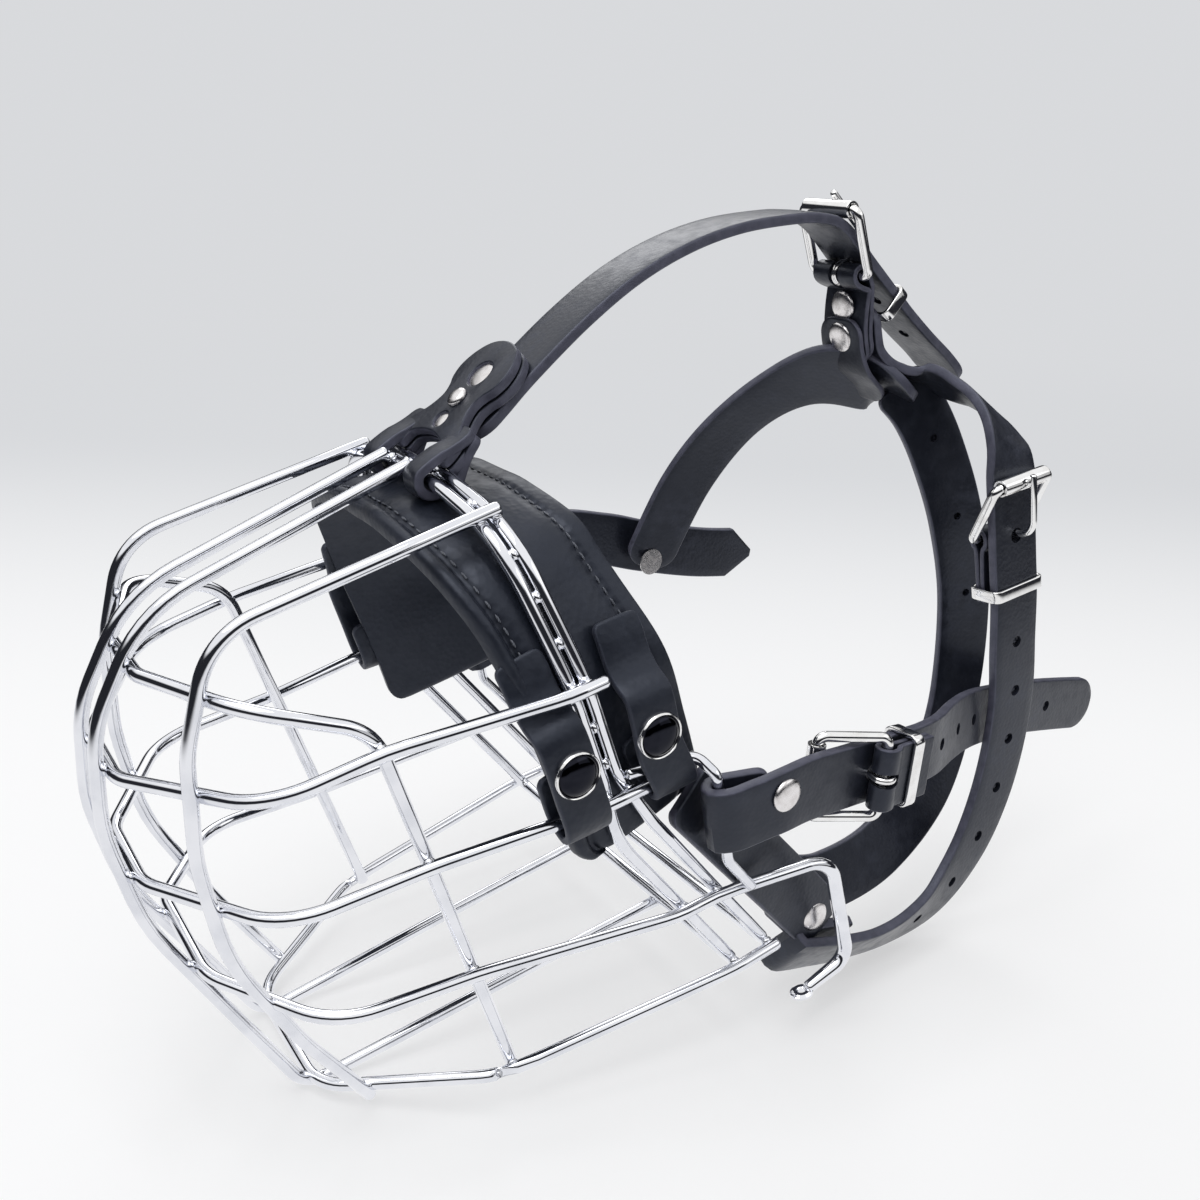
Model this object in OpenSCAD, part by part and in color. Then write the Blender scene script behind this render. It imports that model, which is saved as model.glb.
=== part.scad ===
// Wire basket muzzle with a leather harness, standing on its nose wires and its collar.
// Everything is drawn in the basket's own frame (x back towards the neck, z up from the
// base wires) and then tipped into the standing position by stand().

/* [Wire] */
// Diameter of the basket wire
wire_d = 3; // [2.4:0.1:4]
// Depth that crossing wires sink into each other at a weld
weld = 0.3; // [0.2:0.05:0.6]
// Tightest bend in the wire
bend_r = 8; // [6:0.5:12]

/* [Basket] */
// Half the width between the side legs
leg_y = 46; // [40:1:52]
// Half the width of the rear opening, to the centre of the side wires
rim_y = 54; // [48:1:60]
// Height of the nose arch above the base wires
nose_z = 108; // [98:1:116]
// Height of the upper bow at the nose
upper_z = 89; // [84:1:92]
// Height of the middle bow at the nose
middle_z = 65; // [60:1:70]
// Height of the lower bow at the nose
lower_z = 40; // [36:1:44]
// Height of the top of the rear opening
rim_z = 127; // [126:1:138]
// Reach of the inner nose ribs in front of the legs
nose_x = 60; // [54:1:68]
// How much shorter the outer nose ribs reach
nose_step = 12; // [8:1:15]
// Distance of the front rim behind the legs, at the base
rim_x = 58; // [52:1:66]
// Spacing of the two rim wires at the base
rim_gap = 10; // [7:0.5:13]

/* [Straps] */
// Width of the leather straps
strap_w = 16; // [12:0.5:18]
// Thickness of the leather
strap_t = 2.6; // [2:0.1:3.2]
// Diameter of the punched holes
hole_d = 4; // [3.6:0.1:5]
// Spacing of the punched holes
hole_pitch = 15; // [12:0.5:20]

/* [Buckles] */
// Diameter of the buckle wire
buckle_d = 2.6; // [2.2:0.1:3]
// Distance between the roller and the rear bar
buckle_l = 15; // [13:0.5:18]
// Outer diameter of the roller
roller_d = 4.4; // [4:0.1:5]
// Diameter of the prong
prong_d = 1.8; // [1.6:0.1:2.2]
// Running clearance of the rollers and prongs on their bars
run_gap = 0.06; // [0.03:0.01:0.1]
// Clearance between leather and metal
seat_gap = 0.3; // [0.2:0.05:0.5]
// Diameter of the keeper wire
keeper_d = 2.2; // [1.8:0.1:2.6]

/* [Fasteners] */
// Diameter of the rivet heads
rivet_d = 8; // [6:0.5:10]
// Diameter of the snap caps
snap_d = 10.5; // [9:0.5:12]

/* [Standing] */
// Angle by which the basket is tipped nose down when it stands
stand_tilt = 12; // [10:0.5:14]

/* [Hidden] */
$fn = 32;
sides = 8;                         // sides of a bent wire
turn_step = 15;                    // degrees of bend between two rings of a wire
r = wire_d/2;
lap = wire_d - weld;               // spacing of two wires that cross at a weld
leg_lean = 12/90;                  // the legs lean forward by this much per millimetre of height
leather = [0.16, 0.16, 0.19];

// ---- vectors ----
function unit(v) = v/norm(v);
function mir(p) = [p.x, -p.y, p.z];
function reversed(l) = [for (i = [len(l) - 1:-1:0]) l[i]];
function place(o, x, y, z) = [[x.x, y.x, z.x, o.x], [x.y, y.y, z.y, o.y], [x.z, y.z, z.z, o.z], [0, 0, 0, 1]];
function side_of(z) = abs(z.z) < 0.9 ? unit(cross([0, 0, 1], z)) : unit(cross([1, 0, 0], z));
function both_sides(half) = concat(half, [for (p = reversed(half)) mir(p)]);

// ---- sweeps: a flat section carried along a path ----
function tangents(p) = let (n = len(p)) [for (i = [0:n - 1]) unit(p[min(i + 1, n - 1)] - p[max(i - 1, 0)])];
module swept(rings) {
    n = len(rings);
    m = len(rings[0]);
    sides_f = [for (i = [0:n - 2], k = [0:m - 1], f = [0, 1]) let (j = (k + 1)%m)
        f == 0 ? [i*m + k, i*m + j, (i + 1)*m + j] : [i*m + k, (i + 1)*m + j, (i + 1)*m + k]];
    caps = [[for (k = [m - 1:-1:0]) k], [for (k = [0:m - 1]) (n - 1)*m + k]];
    polyhedron([for (g = rings) each g], concat(sides_f, caps), convexity = 10);
}

// ---- bent wire ----
function corner(a, b, c) = acos(max(-1, min(1, unit(a - b)*unit(c - b))));
function bent(a, b, c, br) =
    let (u = unit(a - b), v = unit(c - b), ang = corner(a, b, c), ctr = b + unit(u + v)*br/sin(ang/2),
         x = unit(b + u*br/tan(ang/2) - ctr), turn = 180 - ang, n = max(1, ceil(turn/turn_step)))
    [for (k = [0:n]) ctr + br*(cos(turn*k/n)*x - sin(turn*k/n)*u)];
function rounded(path, bends) = let (n = len(path))
    concat([path[0]], [for (i = [1:n - 2]) each bent(path[i - 1], path[i], path[i + 1], bends[i - 1])], [path[n - 1]]);
// side vectors carried along the path without twist
function carried(t, i = 0, acc = []) = i == len(t) ? acc :
    carried(t, i + 1, concat(acc, [i == 0 ? side_of(t[0]) : unit(acc[i - 1] - t[i]*(acc[i - 1]*t[i]))]));
module bent_wire(path, bends, rad = r) {
    p = rounded(path, bends);
    t = tangents(p);
    x = carried(t);
    swept([for (i = [0:len(p) - 1]) let (y = cross(t[i], x[i]))
        [for (k = [0:sides - 1]) p[i] + 1.04*rad*(cos(360*k/sides)*x[i] + sin(360*k/sides)*y)]]);
}

// ---- leather strap: a flat strip carried along a smooth curve ----
function curve_point(p, i, f) =
    let (n = len(p) - 1, a = p[max(i - 1, 0)], b = p[i], c = p[min(i + 1, n)], d = p[min(i + 2, n)])
    0.5*(2*b + (c - a)*f + (2*a - 5*b + 4*c - d)*f*f + (3*b - a - 3*c + d)*f*f*f);
function smooth(p, steps) = concat([for (i = [0:len(p) - 2], k = [0:steps - 1]) curve_point(p, i, k/steps)],
                                   [p[len(p) - 1]]);
// faces: the direction that the outer face looks at each point
module strip(path, faces, w = strap_w, t = strap_t, steps = 4) {
    p = smooth(path, steps);
    f = smooth(faces, steps);
    d = tangents(p);
    swept([for (i = [0:len(p) - 1]) let (x = unit(cross(d[i], f[i])), y = cross(x, d[i]))
        [p[i] - x*w/2 - y*t/2, p[i] + x*w/2 - y*t/2, p[i] + x*w/2 + y*t/2, p[i] - x*w/2 + y*t/2]]);
}

// ---- nose outline: heights and reaches that the bows and ribs share ----
inner_line = [[nose_z + 10, 20 - nose_x], [98, 4.5 - nose_x], [77, -nose_x - 0.5], [53, 0.5 - nose_x],
              [20, 12 - nose_x], [-lap, 20 - nose_x]];
outer_line = [[nose_z + 12, 14 + nose_step - nose_x], [99, 4 + nose_step - nose_x], [77, nose_step - nose_x - 0.5],
              [53, nose_step - nose_x - 1], [24, 8 + nose_step - nose_x], [-lap, 19 + nose_step - nose_x]];
inner_y = [[nose_z, 6], [middle_z, 8], [lower_z, 12], [0, 15]];
outer_y = [[lower_z, 33], [0, 28]];
// the side of the front rim from the base to the top, and the rear rim's distance behind it
rim_line = [[0, rim_x], [50, rim_x - 26.5], [66, rim_x - 27.5], [90, rim_x - 31], [rim_z, rim_x - 35.5]];
rim_apart = [[0, rim_gap], [50, rim_gap - 0.3], [66, wire_d + 0.6]];
function rim_at(z) = lookup(z, rim_line);
function rim_rear_at(z) = rim_at(z) + lookup(z, rim_apart);
function leg_at(z) = -leg_lean*z;
function leg_y_at(z) = leg_y - 3 + z/32;

// ---- standing position: the origin is on the floor, under the middle of the whole muzzle ----
middle = [67.33, -2.51];
nose_low = let (n = len(inner_line), a = inner_line[n - 2], b = inner_line[n - 1],
                up = corner([a[1], 0, a[0]], [b[1], 0, b[0]], [rim_x, 0, b[0]]))
    [b[1] + bend_r/tan(up/2), 0, b[0] + bend_r];
lift = bend_r + r - tipped(nose_low).z;
function tipped(p) = [p.x*cos(stand_tilt) - p.z*sin(stand_tilt), p.y, p.x*sin(stand_tilt) + p.z*cos(stand_tilt)];
// height, in the basket's frame, of the floor under a point at x
function floor_at(x) = -(lift + x*sin(stand_tilt))/cos(stand_tilt);
module stand() translate([-middle.x, -middle.y, lift]) rotate([0, -stand_tilt, 0]) children();

// ---- bows: level wires round the nose ----
// zn, zl, zr: heights at the nose, leg and rim; xr: where the bow ends behind the rim
function bow_half(zn, zl, zr, xr) =
    let (xi = lookup(zn, inner_line) + lap, xo = lookup(zn, outer_line) + lap,
         yo = lookup(zn, outer_y), y2 = lookup(zn, inner_y) + 5, y1 = leg_y_at(zl) + lap - 2,
         x1 = xi + (xo - xi)*(y1 - y2)/(yo - y2))
    [[xr, -rim_y, zr], [rim_at(zr) - 2, -rim_y, zr], [leg_at(zl), -leg_y_at(zl) - lap, zl], [x1, -y1, zn + (zl - zn)/2], [xi, -y2, zn]];
module bow(zn, zl, zr, xr)
    bent_wire(both_sides(bow_half(zn, zl, zr, xr)), [40, 60, 18, 14, 14, 18, 60, 40]);
module bow_upper() { color("silver") stand() bow(upper_z, upper_z + 3, upper_z + 1, rim_at(upper_z) + 7); }
module bow_middle() { color("silver") stand() bow(middle_z, middle_z - 2.5, middle_z - 3.5, rim_rear_at(middle_z) + 9); }
module bow_base() { color("silver") stand() bow(0, 0, 0, rim_x + rim_gap + 2); }
module bow_lower() {
    half = bow_half(lower_z, lower_z - 9, 24, rim_at(24) + 8);
    bail = [[74, -rim_y - 4, -15], [88, -rim_y - 4, -13], [84, -rim_y - 5, 21]];
    color("silver") stand()
        bent_wire(both_sides(concat(bail, half)), [5, bend_r, 60, 40, 60, 18, 14, 14, 18, 60, 40, 60, bend_r, 5]);
}

// ---- nose arch: one wire that runs over the nose and down both legs ----
module nose_arch() {
    xi = lookup(nose_z, inner_line) + lap;
    xo = lookup(nose_z, outer_line) + lap;
    x1 = xi + (xo - xi)*(leg_y - 4 - 11)/(33 - 11);
    half = [[leg_at(-0.5), -leg_y_at(-0.5), -0.5], [leg_at(96), -leg_y_at(96), 96], [x1, 4 - leg_y, nose_z], [xi, -11, nose_z]];
    color("silver") stand() bent_wire(both_sides(half), [12, 14, 12, 12, 14, 12]);
}

// ---- ribs: upright wires from the base over the nose to the rim ----
function rib_points(line, ys) = [for (p = line) [p[1], -lookup(p[0], ys), p[0]]];
module rib_inner() {
    bent_wire(concat([[rim_at(rim_z) - 1, -6, rim_z + lap]], rib_points(inner_line, inner_y),
                     [[rim_x + 3, -18, -lap]]), [30, 30, 40, 50, 60, bend_r]);
}
module rib_outer() {
    bent_wire(concat([[rim_at(rim_z) + 5, -33, rim_z - 2.4]], rib_points(outer_line, outer_y)), [16, 30, 40, 50, 60]);
}
module rib_inner_near() { color("silver") stand() rib_inner(); }
module rib_inner_far() { color("silver") stand() mirror([0, 1, 0]) rib_inner(); }
module rib_outer_near() { color("silver") stand() rib_outer(); }
module rib_outer_far() { color("silver") stand() mirror([0, 1, 0]) rib_outer(); }

// ---- rims: two hoops round the rear opening ----
rim_half = let (y = rim_y - lap)
    [[-0.4, 0], [-y, 0], [-y, 50], [-y, 66], [-y, rim_z - 37], [-38, rim_z - 6], [-13, rim_z]];
module rim(path) { bent_wire(both_sides(path), [10, 30, 30, 30, 24, 24, 24, 24, 30, 30, 30, 10]); }
module rim_front() { color("silver") stand() rim([for (p = rim_half) [rim_at(p[1]), p[0], p[1]]]); }
module rim_rear() { color("silver") stand() rim([for (p = rim_half) [rim_rear_at(p[1]), p[0], p[1]]]); }

// ---- side rings: wire loops on the rear rim that the cheek straps fold round ----
ring_top = [rim_x - 3.4, -rim_y - 4.6, 59];
ring_low = [rim_x - 3.2, -rim_y - 4.6, 36];
module side_ring() {
    bent_wire([[rim_rear_at(66) + 1.4, lap - rim_y - 1.7, 66], [rim_x - 5.1, lap - rim_y - 2.3, 63], ring_top, ring_low,
               [rim_x + 4, -rim_y - 2.7, 23.5]], [4, 3, 5], 1.3);
}
module side_ring_near() { color("silver") stand() side_ring(); }
module side_ring_far() { color("silver") stand() mirror([0, 1, 0]) side_ring(); }

// ---- nose pad: a leather saddle inside the rim, with tabs folded round the rim wires ----
pad_t = 3.4;
pad_w = 36;
pad_y = rim_y - lap - r - seat_gap - pad_t/2 - 1;
module nose_pad() {
    half = [[40.5, -pad_y, 48], [38.5, -pad_y, 66], [35.5, -pad_y, 84], [31.5, -40.4, 102], [28.5, -32, rim_z - 13],
            [27, -13, rim_z - 7.4], [27, 0, rim_z - 7]];
    path = concat(half, [for (i = [len(half) - 2:-1:0]) mir(half[i])]);
    faces = [for (p = path) [0.08, p.y/60, p.z > 101 ? 1 : 0.01]];
    color(leather) stand() strip(path, faces, w = pad_w, t = pad_t, steps = 3);
}
// a tab hangs from the pad, folds under the middle bow and goes up inside it; each has its place and its lean below and above
tab_t = 1.8;
tab_w = 11;
tab_out = rim_y + 2.6;
tab_in = pad_y + pad_t/2 + tab_t/2 - 0.1;
tab_low = 61.5;
tabs = [[21.7, 0.12, 0.12], [42, 0.27, 0]];
module tab(x0, below, above) {
    turn = (tab_out + tab_in)/2;
    line = [[tab_in - 1.2, 96], [tab_in - 0.4, 92.5], [tab_in + 0.2, 89.5], [tab_in + 2.6, 86.5], [tab_out - 1.2, 84],
            [tab_out, 79], [tab_out, 71], [tab_out, tab_low + 0.5], [turn, tab_low - (tab_out - tab_in)/2],
            [tab_in, tab_low + 0.5], [tab_in, 72]];
    strip([for (p = line) [x0 - below*min(0, p[1] - 73) - above*max(0, p[1] - 73), -p[0], p[1]]],
          [for (i = [0:10]) i < 8 ? [0, -1, 0] : i == 8 ? [0, 0, -1] : [0, 1, 0]], w = tab_w, t = tab_t, steps = 3);
}
module pad_tabs() {
    color(leather) stand() for (t = tabs) {
        tab(t[0], t[1], t[2]);
        mirror([0, 1, 0]) tab(t[0], t[1], t[2]);
    }
}
module snap(x) {
    translate([x, -tab_out - tab_t/2, 75]) rotate([90, 0, 0]) {
        cylinder(h = 1.2, d = snap_d);
        translate([0, 0, 1.2]) cylinder(h = 0.9, d1 = snap_d - 1.2, d2 = snap_d - 4.5);
    }
}
module snap_caps() {
    color([0.3, 0.3, 0.33]) stand() for (t = tabs) { snap(t[0]); mirror([0, 1, 0]) snap(t[0]); }
}

// ---- crown link: a doubled leather link between the basket's top and the forehead strap ----
link_o = [(rim_at(rim_z) + rim_rear_at(rim_z))/2, 0, rim_z];
link_up = 32;
link_t = 5.2;                      // two layers of leather
link_l = 25;
module at_link() translate(link_o) rotate([0, -link_up, 0]) children();
// centre of the forehead strap under the link, at x along the link
function link(x) = let (z = -link_t/2 - seat_gap - strap_t/2)
    link_o + [x*cos(link_up) - z*sin(link_up), 0, x*sin(link_up) + z*cos(link_up)];
module wrap(rad, l) {
    rotate([0, link_up, 0]) hull() for (s = [-1, 1])
        translate([s*lookup(rim_z, rim_apart)/2, l/2, 0]) rotate([90, 0, 0]) cylinder(h = l, r = rad);
}
module crown_link() {
    ri = 1.04*r + seat_gap + 0.25;
    color(leather) stand() at_link() difference() {
        union() {
            translate([0, 0, -link_t/2]) {
                translate([link_l, 0, 0]) cylinder(h = link_t, r = 9.5);
                translate([8, -6.5, 0]) cube([link_l - 8, 13, link_t]);
                translate([10, 0, 0]) cylinder(h = link_t, r = 8);
                for (s = [-1, 1]) hull() {
                    translate([4.4, s*10.8 - 2.5, 0.4]) cube([4, 5, link_t - 0.8]);
                    translate([12, s*4 - 2.5, 0.4]) cube([4, 5, link_t - 0.8]);
                }
            }
            for (s = [-1, 1]) translate([0, s*10.8, 0]) wrap(ri + 2.1, 5);
        }
        wrap(ri, 40);
        translate([link_l, 0, -link_t]) cylinder(h = 2*link_t, d = hole_d + 3);
        translate([11.5, 0, -link_t]) cylinder(h = 2*link_t, d = hole_d + 1);
    }
}
module link_rivet() {
    color("silver") stand() at_link() translate([17.6, 0, link_t/2]) cylinder(h = 1, d = rivet_d - 3);
}

// ---- forehead strap ----
crown_o = [145.8, 0, 154.6];
crown_x = unit([0.62, 0, -0.785]);
crown_z = unit([0.785, 0, 0.62]);
module at_crown() multmatrix(place(crown_o, crown_x, cross(crown_z, crown_x), crown_z)) children();
function crown(x) = crown_o + x*crown_x;
module forehead_strap() {
    path = [link(12), link(22), link(32), [69, 0, 148.6], [84, 0, 154.8], [99, 0, 158.4], [114, 0, 159.6],
            [129, 0, 158.6], [139.5, 0, 156.8], crown(2), crown(16), crown(30), crown(36), [175, 0, 118.5], [183, 0, 110],
            [190, 0, 101]];
    up = [-0.5, 0, 1];
    out = [1, 0, 0.8];
    color(leather) stand() difference() {
        strip(path, [up, up, up, [-0.4, 0, 1], [-0.3, 0, 1], [-0.1, 0, 1], [0, 0, 1], [0.1, 0, 1], [0.3, 0, 1],
                     crown_z, crown_z, crown_z, crown_z, out, out, out]);
        at_crown() strap_holes([1]);
    }
}
// punched holes, counted from the one that holds the prong
module strap_holes(list) for (i = list) translate([buckle_l + (i - 1)*hole_pitch, 0, -strap_t]) cylinder(h = 2*strap_t, d = hole_d);

// ---- roller buckle: drawn with the strap along x, its outer face up and the roller at the origin ----
bar_r = buckle_d/2;
fold_t = 1.4;                      // thinned leather that folds round a bar
roller_z = strap_t/2 + seat_gap + roller_d/2;
bar_z = -(strap_t/2 + 2*seat_gap + bar_r + fold_t);
frame_y = strap_w/2 + 0.8 + bar_r;
module buckle_frame() {
    c = [[0, -frame_y, roller_z], [buckle_l, -frame_y, bar_z], [buckle_l, frame_y, bar_z], [0, frame_y, roller_z]];
    for (i = [0:3]) {
        rod(c[i], c[(i + 1)%4], bar_r);
        translate(c[i]) sphere(bar_r*1.02);
    }
}
module rod(a, b, rad) {
    z = unit(b - a);
    x = side_of(z);
    multmatrix(place(a, x, cross(z, x), z)) cylinder(h = norm(b - a), r = rad);
}
module buckle_roller() {
    l = 2*(frame_y - bar_r) - 1;
    translate([0, l/2, roller_z]) rotate([90, 0, 0]) difference() {
        cylinder(h = l, d = roller_d);
        translate([0, 0, -1]) cylinder(h = l + 2, r = bar_r + run_gap);
    }
}
prong_w = 3;
module buckle_prong() {
    top = roller_z + roller_d/2 + seat_gap + prong_d/2;
    translate([buckle_l, prong_w/2, bar_z]) rotate([90, 0, 0]) difference() {
        cylinder(h = prong_w, r = bar_r + 1);
        translate([0, 0, -1]) cylinder(h = prong_w + 2, r = bar_r + run_gap);
    }
    rod([buckle_l, 0, bar_z + bar_r + 0.5], [buckle_l, 0, top], prong_d/2);
    translate([buckle_l, 0, top]) sphere(prong_d/2);
    rod([buckle_l, 0, top], [-roller_d/2, 0, top], prong_d/2);
}
module keeper() {
    y = strap_w/2 + seat_gap + keeper_d/2;
    z = strap_t/2 + seat_gap + keeper_d/2;
    low = bar_z - fold_t - seat_gap - keeper_d/2;
    c = [[0, -y, low], [0, y, low], [0, y, z], [0, -y, z]];
    for (i = [0:3]) {
        rod(c[i], c[(i + 1)%4], keeper_d/2);
        translate(c[i]) sphere(keeper_d/2*1.02);
    }
}
keeper_x = 24;
// thinned leather folded round the rear bar, with a slot for the prong; l is the length behind the bar
module bar_fold(l) {
    ro = bar_r + seat_gap + fold_t;
    slot = prong_w + 2*seat_gap;
    translate([buckle_l, 0, bar_z]) difference() {
        union() {
            translate([0, strap_w/2, 0]) rotate([90, 0, 0]) cylinder(h = strap_w, r = ro);
            translate([0, -strap_w/2, -fold_t]) cube([l, strap_w, 2*fold_t]);
        }
        translate([0, strap_w, 0]) rotate([90, 0, 0]) cylinder(h = 2*strap_w, r = bar_r + seat_gap);
        translate([-2*ro, -slot/2, -2*ro]) cube([3.4*ro, slot, 4*ro]);
    }
}

module crown_buckle() { color("silver") stand() at_crown() buckle_frame(); }
module crown_roller() { color("silver") stand() at_crown() buckle_roller(); }
module crown_prong() { color("silver") stand() at_crown() buckle_prong(); }
module crown_keeper() { color("silver") stand() at_crown() translate([keeper_x + 5, 0, 0]) keeper(); }

// ---- crown tab and neck yoke ----
module crown_tab() {
    color(leather) stand() {
        at_crown() bar_fold(6);
        strip([crown(buckle_l + 5.5) + crown_z*bar_z, [153.6, 0, 130.5], [152.8, 0, 124], [153.9, 0, 116.3]],
              [[-0.9, 0, -0.4], [-1, 0, -0.1], [-1, 0, -0.1], [-0.9, 0, -0.4]], w = strap_w - 0.5, t = 3.2, steps = 3);
    }
}
module neck_yoke() {
    path = [[112, 51, 55], [124, 41, 81], [135.7, 29, 99], [147.5, 16, 108.5], [160, 0, 110], [170, -10, 104.5]];
    faces = [[0.3, 1, 0.2], [0.4, 0.9, 0.4], [0.5, 0.6, 0.6], [0.8, 0.4, 0.6], [0.9, 0, 0.43], [0.8, -0.4, 0.43]];
    color(leather) stand() strip(path, faces);
}
module tab_rivets() {
    color("silver") stand() for (p = [[152.2, 0, 131.5], [151.3, 0, 123.5]])
        translate(p) rotate([0, -90, 0]) cylinder(h = 1, d = rivet_d);
}

// ---- far side ----
module cheek_strap_far() {
    b = mir(ring_low);
    path = [[b.x + 12, b.y - 0.6, 57.5], [b.x + 6, b.y - 1.9, 53.5], [b.x, b.y - 3.15, 49.5], [b.x - 3.15, b.y, 48.7],
            [b.x, b.y + 3.15, 49.5], [b.x + 7, b.y + 2.4, 54.5], [70, 60.5, 64], [84, 59, 71.5], [101, 57, 66],
            [115, 55.5, 59], [134.6, 55, 50], [154.6, 55, 43]];
    color(leather) stand()
        strip(path, [for (i = [0:11]) i < 3 ? [0, -1, 0] : i == 3 ? [-1, 0, 0] : [0.1, 1, 0]], steps = 3);
}
module far_rivet() {
    color("silver") stand() translate([112, 47.5, 57]) rotate([-90, 0, 0]) cylinder(h = 1, d = rivet_d);
}

// ---- near cheek strap ----
cheek_o = [81, -62.5, 46];
cheek_x = unit([0.95, 0.09, -0.26]);
cheek_z = unit(cross(cheek_x, [-0.26, 0, -0.95]));
module at_cheek() multmatrix(place(cheek_o, cheek_x, cross(cheek_z, cheek_x), cheek_z)) children();
function cheek(x) = cheek_o + x*cheek_x;
module cheek_strap() {
    b = ring_low;
    path = [[b.x + 12, b.y - 1.7, 47.8], [b.x + 6, b.y + 0.9, 48.3], [b.x, b.y + 3.15, 48.6], [b.x - 3.15, b.y, 48.7],
            [b.x, b.y - 3.15, 48.7], [b.x + 6, b.y - 4.3, 48.7], cheek(-14) - [0, 0, 1], cheek(-6), cheek(2), cheek(14), cheek(29), cheek(34), [129, -52.2, 27.5],
            [142, -44.2, 21], [158, -39.2, 14], [176, -36.5, 7.4], [193, -34.5, 1.5], [214, -32, -5]];
    color(leather) stand() difference() {
        strip(path, [for (i = [0:17]) i < 3 ? [0, 1, 0] : i == 3 ? [-1, 0, 0] : i < 12 ? cheek_z : [-0.3, -1, 0]]);
        at_cheek() strap_holes([1]);
    }
}
module cheek_fold() {
    color(leather) stand() at_cheek() bar_fold(16);
}
module cheek_buckle() { color("silver") stand() at_cheek() buckle_frame(); }
module cheek_roller() { color("silver") stand() at_cheek() buckle_roller(); }
module cheek_prong() { color("silver") stand() at_cheek() buckle_prong(); }
module cheek_keeper() { color("silver") stand() at_cheek() translate([keeper_x, 0, 0]) keeper(); }
module cheek_rivet() {
    color("silver") stand() at_cheek() translate([-14, -1, strap_t/2]) cylinder(h = 1.2, d1 = rivet_d, d2 = rivet_d - 2);
}

// ---- collar ----
collar_o = [168.2, -41, 87];
collar_x = unit([-0.06, -0.09, -0.994]);
collar_z = unit(cross(collar_x, [0.994, 0, -0.06]));
module at_collar() multmatrix(place(collar_o, collar_x, cross(collar_z, collar_x), collar_z)) children();
function collar(x) = collar_o + x*collar_x;
function low(x) = floor_at(x) + strap_w/2/cos(stand_tilt) + 0.3;    // centre of a strap that rests on the floor
module collar_strap() {
    path = [[170.3, -9.5, 107.6], [172, -25, 104.5], collar(-9), collar(0), collar(15), collar(31), collar(36), [164.8, -44.8, 39],
            [164.3, -44.8, 26],
            [161.5, -44.5, 9], [154.5, -44.5, -7], [144, -45, -20], [131, -45.5, low(131) + 1.5], [117, -46, low(117)],
            [101.5, -47, -23], [86, -48, -13], [74, -48, -7.5]];
    faces = [for (i = [0:16]) i == 0 ? [0.8, -0.3, 0.5] : i == 1 ? [0.5, -0.7, 0.5] : i < 7 ? collar_z : [0, -1, 0]];
    color(leather) stand() difference() {
        strip(path, faces);
        at_collar() strap_holes([1, 3, 4]);
    }
}
module collar_buckle() { color("silver") stand() at_collar() buckle_frame(); }
module collar_roller() { color("silver") stand() at_collar() buckle_roller(); }
module collar_prong() { color("silver") stand() at_collar() buckle_prong(); }
module collar_fold() { color(leather) stand() at_collar() bar_fold(18); }
module collar_keeper() { color("silver") stand() at_collar() translate([keeper_x + 6, 0, 0]) keeper(); }
module collar_inner() {
    path = [[170.5, -7, 100], [173.5, -11, 86], [176, -15, 66], [176.5, -17, 41], [168.3, -20, 11.4], [150, -26, -7],
            [122, -35, -10], [98, -39, -6], [84, -40, 1]];
    faces = [for (i = [0:8]) i < 5 ? [-0.3, -1, 0] : [-0.2, -1, 0.5]];
    color(leather) stand() strip(path, faces);
}
module throat_strap() {
    color(leather) stand() strip([[57.8, -50.8, 42], [65, -50.6, 30], [74, -50.4, 18], [85, -50, 5.5]],
                                 [for (i = [0:3]) [0, -1, 0.3]], steps = 3);
}
module throat_rivet() {
    color("silver") stand() translate([90, -46, -3]) rotate([90, 0, 0]) cylinder(h = 1, d = rivet_d);
}

rim_front();
rim_rear();
nose_arch();
bow_upper();
bow_middle();
bow_lower();
bow_base();
rib_inner_near();
rib_inner_far();
rib_outer_near();
rib_outer_far();
side_ring_near();
side_ring_far();
nose_pad();
pad_tabs();
snap_caps();
crown_link();
link_rivet();
forehead_strap();
crown_buckle();
crown_roller();
crown_prong();
crown_keeper();
crown_tab();
neck_yoke();
tab_rivets();
cheek_strap_far();
far_rivet();
cheek_strap();
cheek_fold();
cheek_buckle();
cheek_roller();
cheek_prong();
cheek_keeper();
cheek_rivet();
collar_strap();
collar_fold();
collar_buckle();
collar_roller();
collar_prong();
collar_keeper();
collar_inner();
throat_strap();
throat_rivet();
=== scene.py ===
from math import ceil, cos, exp, pi, radians, sin, sqrt, tan

import bmesh
import bpy
import numpy as np
from mathutils import Matrix, Vector


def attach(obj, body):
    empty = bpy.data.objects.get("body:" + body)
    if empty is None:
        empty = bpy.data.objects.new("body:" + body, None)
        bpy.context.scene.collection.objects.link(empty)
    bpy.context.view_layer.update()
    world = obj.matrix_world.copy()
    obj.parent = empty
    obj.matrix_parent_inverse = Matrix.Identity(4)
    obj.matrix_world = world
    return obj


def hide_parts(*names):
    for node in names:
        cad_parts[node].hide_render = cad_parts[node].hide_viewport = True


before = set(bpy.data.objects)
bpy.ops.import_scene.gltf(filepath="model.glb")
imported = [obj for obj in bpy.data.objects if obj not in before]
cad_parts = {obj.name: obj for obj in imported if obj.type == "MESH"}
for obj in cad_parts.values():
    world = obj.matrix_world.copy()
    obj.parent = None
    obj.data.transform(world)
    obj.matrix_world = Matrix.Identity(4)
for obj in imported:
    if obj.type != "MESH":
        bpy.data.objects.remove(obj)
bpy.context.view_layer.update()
scene = bpy.context.scene
mm = 0.001

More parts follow.
